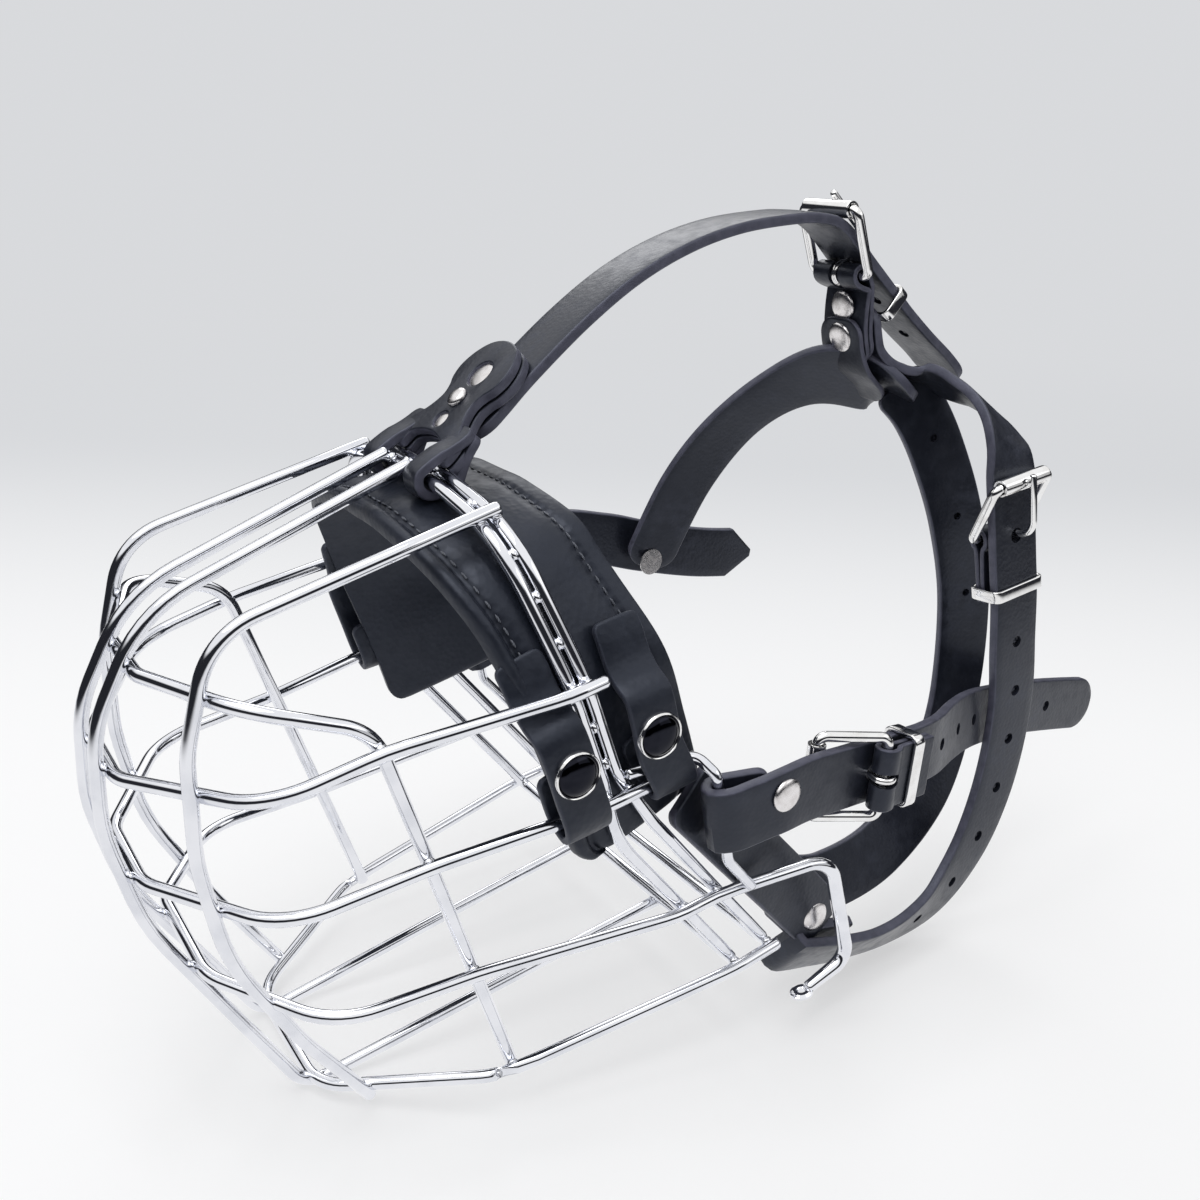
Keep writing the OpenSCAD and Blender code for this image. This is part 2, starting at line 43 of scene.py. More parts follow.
# the basket is drawn nose forward on its base wires, in millimetres,
# then tipped onto its nose and its collar
standing = dict(tilt=12, middle=(67.33, -2.51), lift=11.455)
stood = (Matrix.Translation((-standing["middle"][0] * mm, -standing["middle"][1] * mm,
                             standing["lift"] * mm))
         @ Matrix.Rotation(radians(-standing["tilt"]), 4, "Y") @ Matrix.Scale(mm, 4))

camera = dict(eye=(-0.1811, -0.2406, 0.2044), ahead=(0.5221, 0.7852, -0.3331),
              up=(0.1517, 0.2988, 0.9422), lens=37.03, sensor=36, near=0.01, far=50)


def placeCamera():
    data = bpy.data.cameras.new("camera")
    data.lens, data.sensor_width = camera["lens"], camera["sensor"]
    data.clip_start, data.clip_end = camera["near"], camera["far"]
    seen = bpy.data.objects.new("camera", data)
    back = -Vector(camera["ahead"]).normalized()
    right = Vector(camera["up"]).cross(back).normalized()
    turned = Matrix((right, back.cross(right), back)).transposed().to_4x4()
    seen.matrix_world = Matrix.Translation(camera["eye"]) @ turned
    scene.collection.objects.link(seen)
    scene.camera = seen


placeCamera()
print("camera placed")


def addNode(tree, kind, settings=None, values=None):
    # settings first, then the values or links of the sockets, by name or by place
    made = tree.nodes.new(kind)
    for name, setting in (settings or {}).items():
        setattr(made, name, setting)
    for name, value in (values or {}).items():
        if isinstance(name, str):
            socket = next(s for s in made.inputs if s.enabled and s.name == name)
        else:
            socket = made.inputs[name]
        source = getattr(value, "socket", value)
        if isinstance(source, bpy.types.NodeSocket):
            tree.links.new(source, socket)
        else:
            socket.default_value = source
    return made


class Amount:
    # a socket of a shader that takes part in sums
    def __init__(self, finish, socket):
        self.finish, self.socket = finish, socket

    def maths(self, operation, first, second):
        return self.finish.node("Math", dict(operation=operation),
                                {0: first, 1: second})

    def __add__(self, other):
        return self.maths("ADD", self, other)

    __radd__ = __add__

    def __mul__(self, other):
        return self.maths("MULTIPLY", self, other)

    __rmul__ = __mul__

    def __sub__(self, other):
        return self.maths("SUBTRACT", self, other)

    def __rsub__(self, other):
        return self.maths("SUBTRACT", other, self)


class Finish:
    # a material, or the world, with its nodes
    def __init__(self, owner):
        owner.use_nodes = True
        self.owner, self.tree = owner, owner.node_tree
        self.tree.nodes.clear()

    def node(self, kind, settings=None, values=None, out=0):
        made = addNode(self.tree, "ShaderNode" + kind, settings, values)
        return Amount(self, made.outputs[out])

    def mixed(self, share, first, second):
        return self.node("Mix", dict(data_type="RGBA"),
                         {"Factor": share, "A": first, "B": second}, 2)

    def noise(self, scale, detail, at=None):
        at = at or self.node("TexCoord", out="Object")
        return self.node("TexNoise",
                         values={"Vector": at, "Scale": scale, "Detail": detail})

    def between(self, value, low, high, bottom=0.0, top=1.0):
        return self.node("MapRange", dict(interpolation_type="SMOOTHSTEP"),
                         {"Value": value, "From Min": low, "From Max": high,
                          "To Min": bottom, "To Max": top})

    def surface(self, shader, kind="OutputMaterial"):
        addNode(self.tree, "ShaderNode" + kind, values={"Surface": shader})
        return self.owner


def colour(red, green, blue):
    return (red, green, blue, 1)


metals = dict(
    wireChrome=dict(tint=colour(0.83, 0.84, 0.88), dark=colour(0.62, 0.64, 0.70),
                    rough=(0.05, 0.13), ripple=0.01, scale=120),
    buckleChrome=dict(tint=colour(0.88, 0.88, 0.88), dark=colour(0.68, 0.66, 0.64),
                      rough=(0.06, 0.16), ripple=0.02, scale=300),
    rivetNickel=dict(tint=colour(0.80, 0.78, 0.78), dark=colour(0.58, 0.54, 0.53),
                     rough=(0.22, 0.36), ripple=0.08, scale=520),
    snapLacquer=dict(tint=colour(0.018, 0.019, 0.026), dark=colour(0.010, 0.011, 0.016),
                     rough=(0.08, 0.16), ripple=0.01, scale=500),
)
wear = dict(worn=(0.35, 0.75), share=0.5, finer=6, dent=0.3, deep=0.0002)


def metalFinish(name, tint, dark, rough, ripple, scale):
    # polished metal, dulled in cloudy patches and faintly dented
    metal = Finish(bpy.data.materials.new(name))
    cloudy = metal.noise(scale, 4)
    fine = metal.noise(scale * wear["finer"], 2)
    worn = metal.between(cloudy, *wear["worn"])
    body = metal.node("BsdfPrincipled", values={
        "Base Color": metal.mixed(wear["share"] * worn, tint, dark),
        "Metallic": 1.0,
        "Roughness": metal.between(fine * 0.5 + worn * 0.5, 0.2, 0.8, *rough),
        "Normal": metal.node("Bump", values={
            "Strength": ripple, "Distance": wear["deep"],
            "Height": cloudy + wear["dent"] * fine})})
    return metal.surface(body)


# a black face, a greyer cut edge, fine pores and soft scuffs
leathers = dict(
    strapLeather=dict(face=colour(0.0105, 0.0120, 0.0185), scuff=colour(0.025, 0.028, 0.041),
                      edge=colour(0.082, 0.082, 0.114), rough=(0.30, 0.46), grain=950,
                      relief=0.16),
    padLeather=dict(face=colour(0.007, 0.009, 0.0155), scuff=colour(0.015, 0.018, 0.028),
                    edge=colour(0.032, 0.035, 0.050), rough=(0.40, 0.58), grain=700,
                    relief=0.26),
)
hideGrain = dict(cloud=60, crease=320, fibre=2600, handled=(0.42, 0.72), creased=(0.3, 0.7),
                 frayed=(0.3, 0.75, 0.6, 1.0), deep=0.00025)
hideGloss = dict(tint=colour(0.78, 0.84, 1.0), sheen=0.04, sheenRough=0.4,
                 sheenTint=colour(0.58, 0.64, 0.84))


def leatherFinish(name, face, scuff, edge, rough, grain, relief):
    hide = Finish(bpy.data.materials.new(name))
    place = hide.node("TexCoord", out="Object")
    pores = hide.node("TexVoronoi", dict(feature="SMOOTH_F1"),
                      {"Vector": place, "Scale": grain, "Smoothness": 0.4})
    cloudy = hide.noise(hideGrain["cloud"], 4, place)
    creases = hide.noise(hideGrain["crease"], 5, place)
    cut = hide.node("Attribute", dict(attribute_name="cut"), out="Fac")
    handled = (hide.between(cloudy, *hideGrain["handled"])
               * hide.between(creases, *hideGrain["creased"]))
    skin = hide.mixed(handled, face, scuff)
    frayed = hide.between(creases, *hideGrain["frayed"]) * cut
    height = (pores * (1 - cut) + creases * 0.6
              + cut * hide.noise(hideGrain["fibre"], 2, place))
    body = hide.node("BsdfPrincipled", values={
        "Base Color": hide.mixed(frayed, skin, edge),
        "Roughness": hide.between(creases + 0.3 * cut, 0.3, 0.9, *rough),
        "Specular Tint": hideGloss["tint"],
        "Sheen Weight": hideGloss["sheen"],
        "Sheen Roughness": hideGloss["sheenRough"],
        "Sheen Tint": hideGloss["sheenTint"],
        "Normal": hide.node("Bump", values={
            "Strength": relief, "Distance": hideGrain["deep"], "Height": height})})
    return hide.surface(body)


thread = dict(dark=colour(0.05, 0.055, 0.07), light=colour(0.14, 0.15, 0.18), twist=900.0,
              wander=2.0, relief=0.4, deep=0.0001)


def threadFinish():
    waxed = Finish(bpy.data.materials.new("waxedThread"))
    twist = waxed.node("TexWave", values={
        "Vector": waxed.node("TexCoord", out="Object"),
        "Scale": thread["twist"], "Distortion": thread["wander"]})
    body = waxed.node("BsdfPrincipled", values={
        "Base Color": waxed.mixed(twist, thread["dark"], thread["light"]),
        "Roughness": 0.45 + 0.1 * twist,
        "Normal": waxed.node("Bump", values={
            "Strength": thread["relief"], "Distance": thread["deep"], "Height": twist})})
    return waxed.surface(body)


finishes = {name: metalFinish(name, **look) for name, look in metals.items()}
finishes.update({name: leatherFinish(name, **look) for name, look in leathers.items()})
finishes["thread"] = threadFinish()
print("finishes ready:", len(finishes))


def linked(name, data):
    piece = bpy.data.objects.new(name, data)
    scene.collection.objects.link(piece)
    return piece


def mounted(piece, finish, nodes=(), body="root"):
    # gives a finished piece its finish and its body, and hides the solids that it stands for
    if not piece.data.materials:
        piece.data.materials.append(finishes[finish])
    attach(piece, body)
    if nodes:
        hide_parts(*nodes)
    return piece


def hidden(piece):
    # a pattern piece, which is copied or cuts and isn't seen itself
    piece.hide_render = True
    piece.hide_viewport = True
    return piece


def creased(mesh, angle=40):
    # smooth shading that keeps edges sharper than the angle
    work = bmesh.new()
    work.from_mesh(mesh)
    for face in work.faces:
        face.smooth = True
    for edge in work.edges:
        edge.smooth = (len(edge.link_faces) == 2
                       and edge.calc_face_angle(0) < radians(angle))
    work.to_mesh(mesh)
    work.free()
    return mesh


def meshOf(name, work):
    mesh = bpy.data.meshes.new(name)
    work.to_mesh(mesh)
    work.free()
    return mesh


def skinned(name, rings, cuts=None, closed=False):
    # a closed mesh through rings of points; cuts marks the cut edge of the leather
    work = bmesh.new()
    layer = work.verts.layers.float.new("cut")
    made = []
    for ring in rings:
        made.append([work.verts.new(p) for p in ring])
        for vert, mark in zip(made[-1], cuts or [0] * len(ring)):
            vert[layer] = mark
    count = len(rings[0])
    pairs = list(zip(made, made[1:])) + ([(made[-1], made[0])] if closed else [])
    for first, second in pairs:
        for k in range(count):
            j = (k + 1) % count
            work.faces.new((first[k], first[j], second[j], second[k]))
    if not closed:
        work.faces.new(made[0])
        work.faces.new(made[-1])
    bmesh.ops.recalc_face_normals(work, faces=work.faces)
    return meshOf(name, work)


def ringed(name, rings, cuts=None, closed=False, angle=40):
    return linked(name, creased(skinned(name, rings, cuts, closed), angle))


def evaluated(name, source):
    # the result of a piece's modifiers as a plain piece
    graph = bpy.context.evaluated_depsgraph_get()
    mesh = bpy.data.meshes.new_from_object(
        source.evaluated_get(graph), preserve_all_data_layers=True, depsgraph=graph)
    mesh.name = name
    source.modifiers.clear()
    bpy.data.objects.remove(source)
    return linked(name, mesh)


def newTree(name, sockets):
    # an empty tree of Geometry Nodes with named inputs and one geometry output
    tree = bpy.data.node_groups.new(name, "GeometryNodeTree")
    for label, kind in sockets:
        tree.interface.new_socket(label, in_out="INPUT", socket_type="NodeSocket" + kind)
    tree.interface.new_socket("Geometry", in_out="OUTPUT", socket_type="NodeSocketGeometry")
    return tree, addNode(tree, "NodeGroupInput").outputs


def closeTree(tree, geometry, material):
    real = addNode(tree, "GeometryNodeRealizeInstances", values={"Geometry": geometry})
    painted = addNode(tree, "GeometryNodeSetMaterial",
                      values={"Geometry": real.outputs[0], "Material": material})
    addNode(tree, "NodeGroupOutput", values={"Geometry": painted.outputs[0]})
    return tree


def named(tree, label, kind):
    read = addNode(tree, "GeometryNodeInputNamedAttribute", dict(data_type=kind),
                   {"Name": label})
    return read.outputs[0]


def bentWireTree():
    # a round wire along a line of points; girth narrows it at its tumbled ends
    tree, given = newTree("bentWire", [("Line", "Geometry"), ("Radius", "Float"),
                                       ("Sides", "Int"), ("Finish", "Material")])
    line = addNode(tree, "GeometryNodeMeshToCurve", values={"Mesh": given["Line"]})
    ring = addNode(tree, "GeometryNodeCurvePrimitiveCircle",
                   values={"Resolution": given["Sides"], "Radius": given["Radius"]})
    tube = addNode(tree, "GeometryNodeCurveToMesh", values={
        "Curve": line.outputs[0], "Profile Curve": ring.outputs[0],
        "Scale": named(tree, "girth", "FLOAT"), "Fill Caps": True})
    smooth = addNode(tree, "GeometryNodeSetShadeSmooth",
                     values={"Geometry": tube.outputs[0]})
    return closeTree(tree, smooth.outputs[0], given["Finish"])


def setPiecesTree():
    # one small piece on every point, turned by the point's up and along, sized by its size
    tree, given = newTree("setPieces", [("Points", "Geometry"), ("Piece", "Object"),
                                        ("Size", "Float"), ("Finish", "Material")])
    up, along, size = (named(tree, label, "FLOAT_VECTOR")
                       for label in ("up", "along", "size"))
    upright = addNode(tree, "FunctionNodeAlignRotationToVector", dict(axis="Z"),
                      {"Vector": up})
    turned = addNode(tree, "FunctionNodeAlignRotationToVector",
                     dict(axis="X", pivot_axis="Z"),
                     {"Rotation": upright.outputs[0], "Vector": along})
    sized = addNode(tree, "ShaderNodeVectorMath", dict(operation="SCALE"),
                    {"Vector": size, "Scale": given["Size"]})
    shape = addNode(tree, "GeometryNodeObjectInfo", values={"Object": given["Piece"]})
    copies = addNode(tree, "GeometryNodeInstanceOnPoints", values={
        "Points": given["Points"], "Instance": shape.outputs["Geometry"],
        "Rotation": turned.outputs[0], "Scale": sized.outputs[0]})
    return closeTree(tree, copies.outputs[0], given["Finish"])


bentWires = bentWireTree()
setPieces = setPiecesTree()


def grown(name, source, tree, **inputs):
    # runs a tree on a piece and keeps the plain mesh
    modifier = source.modifiers.new(name, "NODES")
    modifier.node_group = tree
    for item in tree.interface.items_tree:
        if item.in_out == "INPUT" and item.name in inputs:
            modifier[item.identifier] = inputs[item.name]
    return evaluated(name, source)


def setOnSpots(name, shape, spots, finish, place=stood):
    # spots: (place, up, along, size in millimetres) in the basket's frame
    mesh = bpy.data.meshes.new(name)
    mesh.from_pydata([place @ Vector(spot[0]) for spot in spots], [], [])
    turn = place.to_3x3().normalized()
    for column, label in enumerate(("up", "along", "size"), 1):
        told = mesh.attributes.new(label, "FLOAT_VECTOR", "POINT")
        for entry, spot in zip(told.data, spots):
            entry.vector = spot[column] if label == "size" else turn @ Vector(spot[column])
    return grown(name, linked(name + "Spots", mesh), setPieces,
                 Piece=shape, Size=mm, Finish=finishes[finish])


def scattered(name, shape, spots, finish, nodes=()):
    mounted(setOnSpots(name, shape, spots, finish), finish, nodes)


def vectors(points):
    return [Vector(p) for p in points]


def mirrored(points):
    return [Vector((p[0], -p[1], p[2])) for p in points]


def bothSides(half):
    return vectors(half) + mirrored(half)[::-1]


def bothWays(bends):
    return bends + bends[::-1]


def lookup(z, table):
    rows = sorted(table)
    return float(np.interp(z, [row[0] for row in rows], [row[1] for row in rows]))


def circle(count, radius=1.0):
    return [(radius * cos(2 * pi * k / count),
             radius * sin(2 * pi * k / count)) for k in range(count)]


def eased(a, b, c, d, f):
    # a share f of the way from b to c, on the smooth line through all four
    return 0.5 * (2 * b + (c - a) * f + (2 * a - 5 * b + 4 * c - d) * f ** 2
                  + (3 * b - a - 3 * c + d) * f ** 3)


sides = dict(Near=-1, Far=1)
wire = dict(thick=3.0, weld=0.3, bend=8, turnStep=radians(6), round=20,
            tumbled=[(0.0, 0.45), (0.08, 0.72), (0.3, 0.92), (0.65, 1.0)])
lap = wire["thick"] - wire["weld"]  # from one wire's middle to the next at a weld


def filleted(path, bends):
    # rounds each corner of the path with its own bend
    path = vectors(path)
    made = [path[0]]
    for before, at, after, radius in zip(path, path[1:], path[2:], bends):
        u, v = (before - at).normalized(), (after - at).normalized()
        turn = pi - u.angle(v)
        if turn < 0.01:
            made.append(at)
            continue
        centre = at + (u + v).normalized() * radius / cos(turn / 2)
        x = (at + u * radius * tan(turn / 2) - centre).normalized()
        count = max(2, ceil(turn / wire["turnStep"]))
        made += [centre + radius * (cos(turn * k / count) * x
                                    - sin(turn * k / count) * u)
                 for k in range(count + 1)]
    return made + [path[-1]]


def bentWire(name, path, radius, finish, place=stood, closed=False, swell=None):
    # a wire through the points, with tumbled ends unless it closes on itself
    path = vectors(path)
    girth = swell or [1.0] * len(path)
    if not closed:
        for end in (0, -1):
            tip = path[end]
            toward = (path[1 if end == 0 else -2] - tip).normalized()
            soft = [tip + toward * radius * share for share, slim in wire["tumbled"]]
            slim = [slim for share, slim in wire["tumbled"]]
            path = soft + path[1:] if end == 0 else path[:-1] + soft[::-1]
            girth = slim + girth[1:] if end == 0 else girth[:-1] + slim[::-1]
    count = len(path)
    edges = [(i, i + 1) for i in range(count - 1)] + ([(count - 1, 0)] if closed else [])
    mesh = bpy.data.meshes.new(name)
    mesh.from_pydata([place @ p for p in path], edges, [])
    mesh.attributes.new("girth", "FLOAT", "POINT").data.foreach_set("value", girth)
    return grown(name, linked(name + "Line", mesh), bentWires,
                 Radius=radius * mm, Sides=wire["round"], Finish=finishes[finish])


# ribs and rims are tables of height against reach or width
basket = dict(
    legY=46, rimY=54, noseZ=108, upperZ=89, middleZ=65, lowerZ=40, rimZ=127, rimX=58,
    rimGap=10, rim=[(0, 58), (50, 31.5), (66, 30.5), (90, 27), (127, 22.5)],
    rimApart=[(0, 10), (50, 9.7), (66, 3.6)],
    inner=[(118, -40), (98, -55.5), (77, -60.5), (53, -59.5), (20, -48), (-lap, -40)],
    outer=[(120, -34), (99, -44), (77, -48.5), (53, -49), (24, -40), (-lap, -29)],
    innerY=[(108, 6), (65, 8), (40, 12), (0, 15)], outerY=[(40, 33), (0, 28)],
    bowBends=[40, 60, 18, 14],
    bailBends=[5, wire["bend"], 60, 40, 60, 18, 14], archBends=[12, 14, 12],
    hoopBends=[3, 30, 30, 30, 24, 24], ring=1.3, ringBends=[4, 3, 5],
)


def rimAt(z):
    return lookup(z, basket["rim"])


def rimRearAt(z):
    return rimAt(z) + lookup(z, basket["rimApart"])


def legAt(z):
    return -12 / 90 * z


def legYAt(z):
    return basket["legY"] - 3 + z / 32


def noseAt(z):
    # how far the bows reach over the inner and the outer ribs
    return lookup(z, basket["inner"]) + lap, lookup(z, basket["outer"]) + lap


def bowHalf(zNose, zLeg, zRim, xRim):
    # half of a bow, from the rim round the nose arch's leg to the middle of the nose
    xInner, xOuter = noseAt(zNose)
    yOuter, yTip = lookup(zNose, basket["outerY"]), lookup(zNose, basket["innerY"]) + 5
    yTurn = legYAt(zLeg) + lap - 2
    xTurn = xInner + (xOuter - xInner) * (yTurn - yTip) / (yOuter - yTip)
    rimY = basket["rimY"]
    return [(xRim, -rimY, zRim), (rimAt(zRim) - 2, -rimY, zRim),
            (legAt(zLeg), -legYAt(zLeg) - lap, zLeg), (xTurn, -yTurn, (zNose + zLeg) / 2),
            (xInner, -yTip, zNose)]


def bow(zNose, zLeg, zRim, xRim):
    return filleted(bothSides(bowHalf(zNose, zLeg, zRim, xRim)),
                    bothWays(basket["bowBends"]))


def rim(at):
    # both rims close on themselves under the basket
    rimY, rimZ = basket["rimY"], basket["rimZ"]
    hoop = [(-0.4, 0), (lap - rimY, 0), (lap - rimY, 50), (lap - rimY, 66),
            (lap - rimY, rimZ - 37), (-38, rimZ - 6), (-13, rimZ)]
    return filleted(bothSides([(at(z), y, z) for y, z in hoop]),
                    bothWays(basket["hoopBends"]))


def noseArch():
    legY, noseZ = basket["legY"], basket["noseZ"]
    xInner, xOuter = noseAt(noseZ)
    half = [(legAt(-0.5), -legYAt(-0.5), -0.5), (legAt(96), -legYAt(96), 96),
            (xInner + (xOuter - xInner) * (legY - 15) / 22, 4 - legY, noseZ),
            (xInner, -11, noseZ)]
    return filleted(bothSides(half), bothWays(basket["archBends"]))


def lowerBow():
    # its ends are the two bails behind the rims
    rimY, z = basket["rimY"], basket["lowerZ"]
    ends = [(74, -rimY - 4, -15), (88, -rimY - 4, -13), (84, -rimY - 5, 21)]
    return filleted(bothSides(ends + bowHalf(z, z - 9, 24, rimAt(24) + 8)),
                    bothWays(basket["bailBends"]))


def ribPoints(line, ys):
    return [(x, -lookup(z, ys), z) for z, x in line]


def innerRib():
    rimZ, rimX = basket["rimZ"], basket["rimX"]
    line = ribPoints(basket["inner"], basket["innerY"])
    return filleted([(rimAt(rimZ) - 1, -6, rimZ + lap)] + line + [(rimX + 3, -18, -lap)],
                    [30, 30, 40, 50, 60, wire["bend"]])


def outerRib():
    rimZ = basket["rimZ"]
    line = ribPoints(basket["outer"], basket["outerY"])
    return filleted([(rimAt(rimZ) + 5, -33, rimZ - 2.4)] + line, [16, 30, 40, 50, 60])


def basketWires():
    upperZ, middleZ = basket["upperZ"], basket["middleZ"]
    return dict(
        rim_front=rim(rimAt), rim_rear=rim(rimRearAt), nose_arch=noseArch(),
        bow_upper=bow(upperZ, upperZ + 3, upperZ + 1, rimAt(upperZ) + 7),
        bow_middle=bow(middleZ, middleZ - 2.5, middleZ - 3.5, rimRearAt(middleZ) + 9),
        bow_lower=lowerBow(),
        bow_base=bow(0, 0, 0, basket["rimX"] + basket["rimGap"] + 2),
        rib_inner_near=innerRib(), rib_inner_far=mirrored(innerRib()),
        rib_outer_near=outerRib(), rib_outer_far=mirrored(outerRib()))


def ringTop():
    return Vector((basket["rimX"] - 3.4, -basket["rimY"] - 4.6, 59))


def ringLow():
    return Vector((basket["rimX"] - 3.2, -basket["rimY"] - 4.6, 36))


def sideRing():
    rimX, rimY = basket["rimX"], basket["rimY"]
    return filleted([(rimRearAt(66) + 1.4, lap - rimY - 1.7, 66),
                     (rimX - 5.1, lap - rimY - 2.3, 63), ringTop(), ringLow(),
                     (rimX + 4, -rimY - 2.7, 23.5)], basket["ringBends"])


def camel(name):
    first, *rest = name.split("_")
    return first + "".join(word.capitalize() for word in rest)


bail = dict(stouter=0.22, behind=80, over=4)


def bailSwell(p):
    # the bail is a little stouter on its upright run
    return 1 + bail["stouter"] * min(1.0, max(0.0, (p[0] - bail["behind"]) / bail["over"]))


def makeBasket():
    runs = basketWires()
    for name, path in runs.items():
        swell = [bailSwell(p) for p in path] if name == "bow_lower" else None
        made = bentWire(camel(name), path, wire["thick"] / 2, "wireChrome",
                        closed=name.startswith("rim"), swell=swell)
        mounted(made, "wireChrome", [name])
    rings = dict(side_ring_near=sideRing(), side_ring_far=mirrored(sideRing()))
    for name, path in rings.items():
        mounted(bentWire(camel(name), path, basket["ring"], "wireChrome"), "wireChrome",
                [name])
    return runs


runs = makeBasket()
print("basket wires bent:", len(runs))

welds = dict(reach=3.7, apart=9, bead=(1.5, 1.5, 1.0))


def sampled(path, spacing=0.8):
    marks = np.concatenate([[0], np.cumsum([(b - a).length for a, b in zip(path, path[1:])])])
    stops = np.arange(0, marks[-1], spacing)
    return np.stack([np.interp(stops, marks, [p[i] for p in path]) for i in range(3)], axis=1)


def crossings(paths):
    # a bead wherever two wires come within a weld's reach of each other
    lines = [sampled(path) for path in paths]
    spots = []
    for i, first in enumerate(lines):
        for second in lines[i + 1:]:
            gaps = np.linalg.norm(first[:, None] - second[None], axis=2)
            while gaps.min() < welds["reach"]:
                a, b = np.unravel_index(gaps.argmin(), gaps.shape)
                ahead = first[min(a + 1, len(first) - 1)] - first[max(a - 1, 0)]
                spots.append((Vector((first[a] + second[b]) / 2),
                              Vector(second[b] - first[a]), Vector(ahead), welds["bead"]))
                gaps[np.linalg.norm(first - first[a], axis=1) < welds["apart"]] = 99
    return spots


def roundShape(name, make, **sizes):
    work = bmesh.new()
    make(work, radius=1, **sizes)
    for face in work.faces:
        face.smooth = True
    return hidden(linked(name, meshOf(name, work)))


bead = roundShape("bead", bmesh.ops.create_icosphere, subdivisions=2)
weldSpots = crossings(list(runs.values()))
scattered("weldBeads", bead, weldSpots, "wireChrome")
print("welds:", len(weldSpots))


class Trail:
    # a smooth line through given points, with the way that its outer face looks at each
    def __init__(self, points, faces, fine=16):
        self.places, self.looks = self.smoothed(points, fine), self.smoothed(faces, fine)
        steps = np.linalg.norm(np.diff(self.places, axis=0), axis=1)
        self.marks = np.concatenate([[0], np.cumsum(steps)])
        self.length = float(self.marks[-1])

    def smoothed(self, points, fine):
        p = np.array([list(v) for v in points], float)
        last, made = len(p) - 1, []
        for i in range(last):
            a, b, c, d = p[max(i - 1, 0)], p[i], p[i + 1], p[min(i + 2, last)]
            made += [eased(a, b, c, d, f) for f in np.arange(fine) / fine]
        return np.array(made + [p[-1]])

    def mixed(self, rows, s):
        return Vector([float(np.interp(s, self.marks, rows[:, i])) for i in range(3)])

    def at(self, s, reach=0.6):
        # the place at a distance along the line, and the ways across, out and ahead there
        ahead = (self.mixed(self.places, s + reach)
                 - self.mixed(self.places, s - reach)).normalized()
        across = ahead.cross(self.mixed(self.looks, s)).normalized()
        return self.mixed(self.places, s), across, across.cross(ahead), ahead

    def nearest(self, point):
        away = np.linalg.norm(self.places - np.array(list(point)), axis=1)
        return float(self.marks[away.argmin()])


def strapSection(width, thick, ease=0.55, belly=0.12, columns=6):
    # (across, out, share of cut edge) round a strip with eased corners and domed faces
    half, deep = width / 2 - ease, thick / 2 - ease
    flat = np.linspace(half, -half, columns + 1)[1:-1]
    corners = ((half, -deep, -90), (half, deep, 0), (-half, deep, 90), (-half, -deep, 180))
    made = []
    for across, out, start in corners:
        for step in range(4):
            angle = radians(start + 30 * step)
            side = abs(cos(angle))
            made.append((across + ease * cos(angle), out + ease * sin(angle),
                         side ** 0.5 if side > 0.1 else 0.0))
        if start == 0:
            made += [(a, thick / 2 + belly * (1 - (a / half) ** 2), 0.0) for a in flat]
    made += [(-a, -thick / 2 - 0.5 * belly * (1 - (a / half) ** 2), 0.0) for a in flat]
    return made


# how a strip is drawn near its ends: closer rings, a blunt point, a softened last edge
tipShape = dict(point=(0.12, 0.88), corner=0.8, slim=(0.72, 0.8), inside=(10.5, 10),
                near=[0.0, 0.12, 0.35, 0.7, 1.1, 1.6, 2.3, 3.2, 4.3, 5.6, 7.2, 9.0])


def halfWidthAt(gap, half, tip):
    # half the width at a distance from the end: a pointed end, or corners of a radius
    if "point" in tip:
        blunt, rest = tipShape["point"]
        return half * min(1.0, blunt + rest * gap / tip["point"])
    corner = min(tip.get("corner", tipShape["corner"]), half)
    if gap >= corner:
        return half
    return half - corner + sqrt(max(corner ** 2 - (corner - gap) ** 2, 0.0))


def ribbon(name, trail, section, tips=({}, {}), spacing=1.6, swell=None, place=stood):
    # the section carried along the trail; swell(s) adds to half the width on each side
    near, (start, end) = tipShape["near"], tipShape["inside"]
    stops = sorted(set(near + list(np.arange(start, trail.length - end, spacing))
                       + [trail.length - n for n in near]))
    half = max(row[0] for row in section)
    thin, fuller = tipShape["slim"]
    rings = []
    for s in stops:
        spot, across, out, ahead = trail.at(s)
        gap = min(s, trail.length - s)
        wide = halfWidthAt(gap, half, tips[0] if s < trail.length / 2 else tips[1]) / half
        low, high = swell(s) if swell else (0, 0)
        slim = min(1.0, thin + fuller * gap)
        rings.append([
            place @ (spot + across * (a * wide + (high if a > 0 else low) * abs(a) / half)
                     + out * b * slim) for a, b, mark in section])
    return ringed(name, rings, [row[2] for row in section])


strap = dict(wide=16, thick=2.6, hole=3.2, pitch=15, prongHole=4, clear=6, cut=4)
blind = dict(start=10, wide=2.2, shallow=3.4)  # the inner collar's holes don't go through
slug = dict(size=(1.15, 1.15, 0.95), sunk=0.1)  # what shows deep in a free hole


def punchShape(name, outline):
    # a cutter two high, for holes of any size
    rings = [[Vector((x, y, z)) for x, y in outline] for z in (-1, 1)]
    return hidden(linked(name, skinned(name, rings)))


holePunch = punchShape("holePunch", circle(28))


def punchSize(hole):
    return (hole / 2, hole / 2, strap["cut"])


def punched(piece, spots, place=stood):
    # cuts the spots out of a strap
    tool = setOnSpots(piece.name + "Punch", holePunch, spots, "strapLeather", place)
    cut = piece.modifiers.new("punch", "BOOLEAN")
    cut.operation, cut.solver, cut.object = "DIFFERENCE", "EXACT", tool
    name = piece.name
    piece.name = name + "Blank"
    made = evaluated(name, piece)
    made.data.materials.clear()
    for polygon in made.data.polygons:
        polygon.material_index = 0
    bpy.data.objects.remove(tool)
    creased(made.data)
    return made


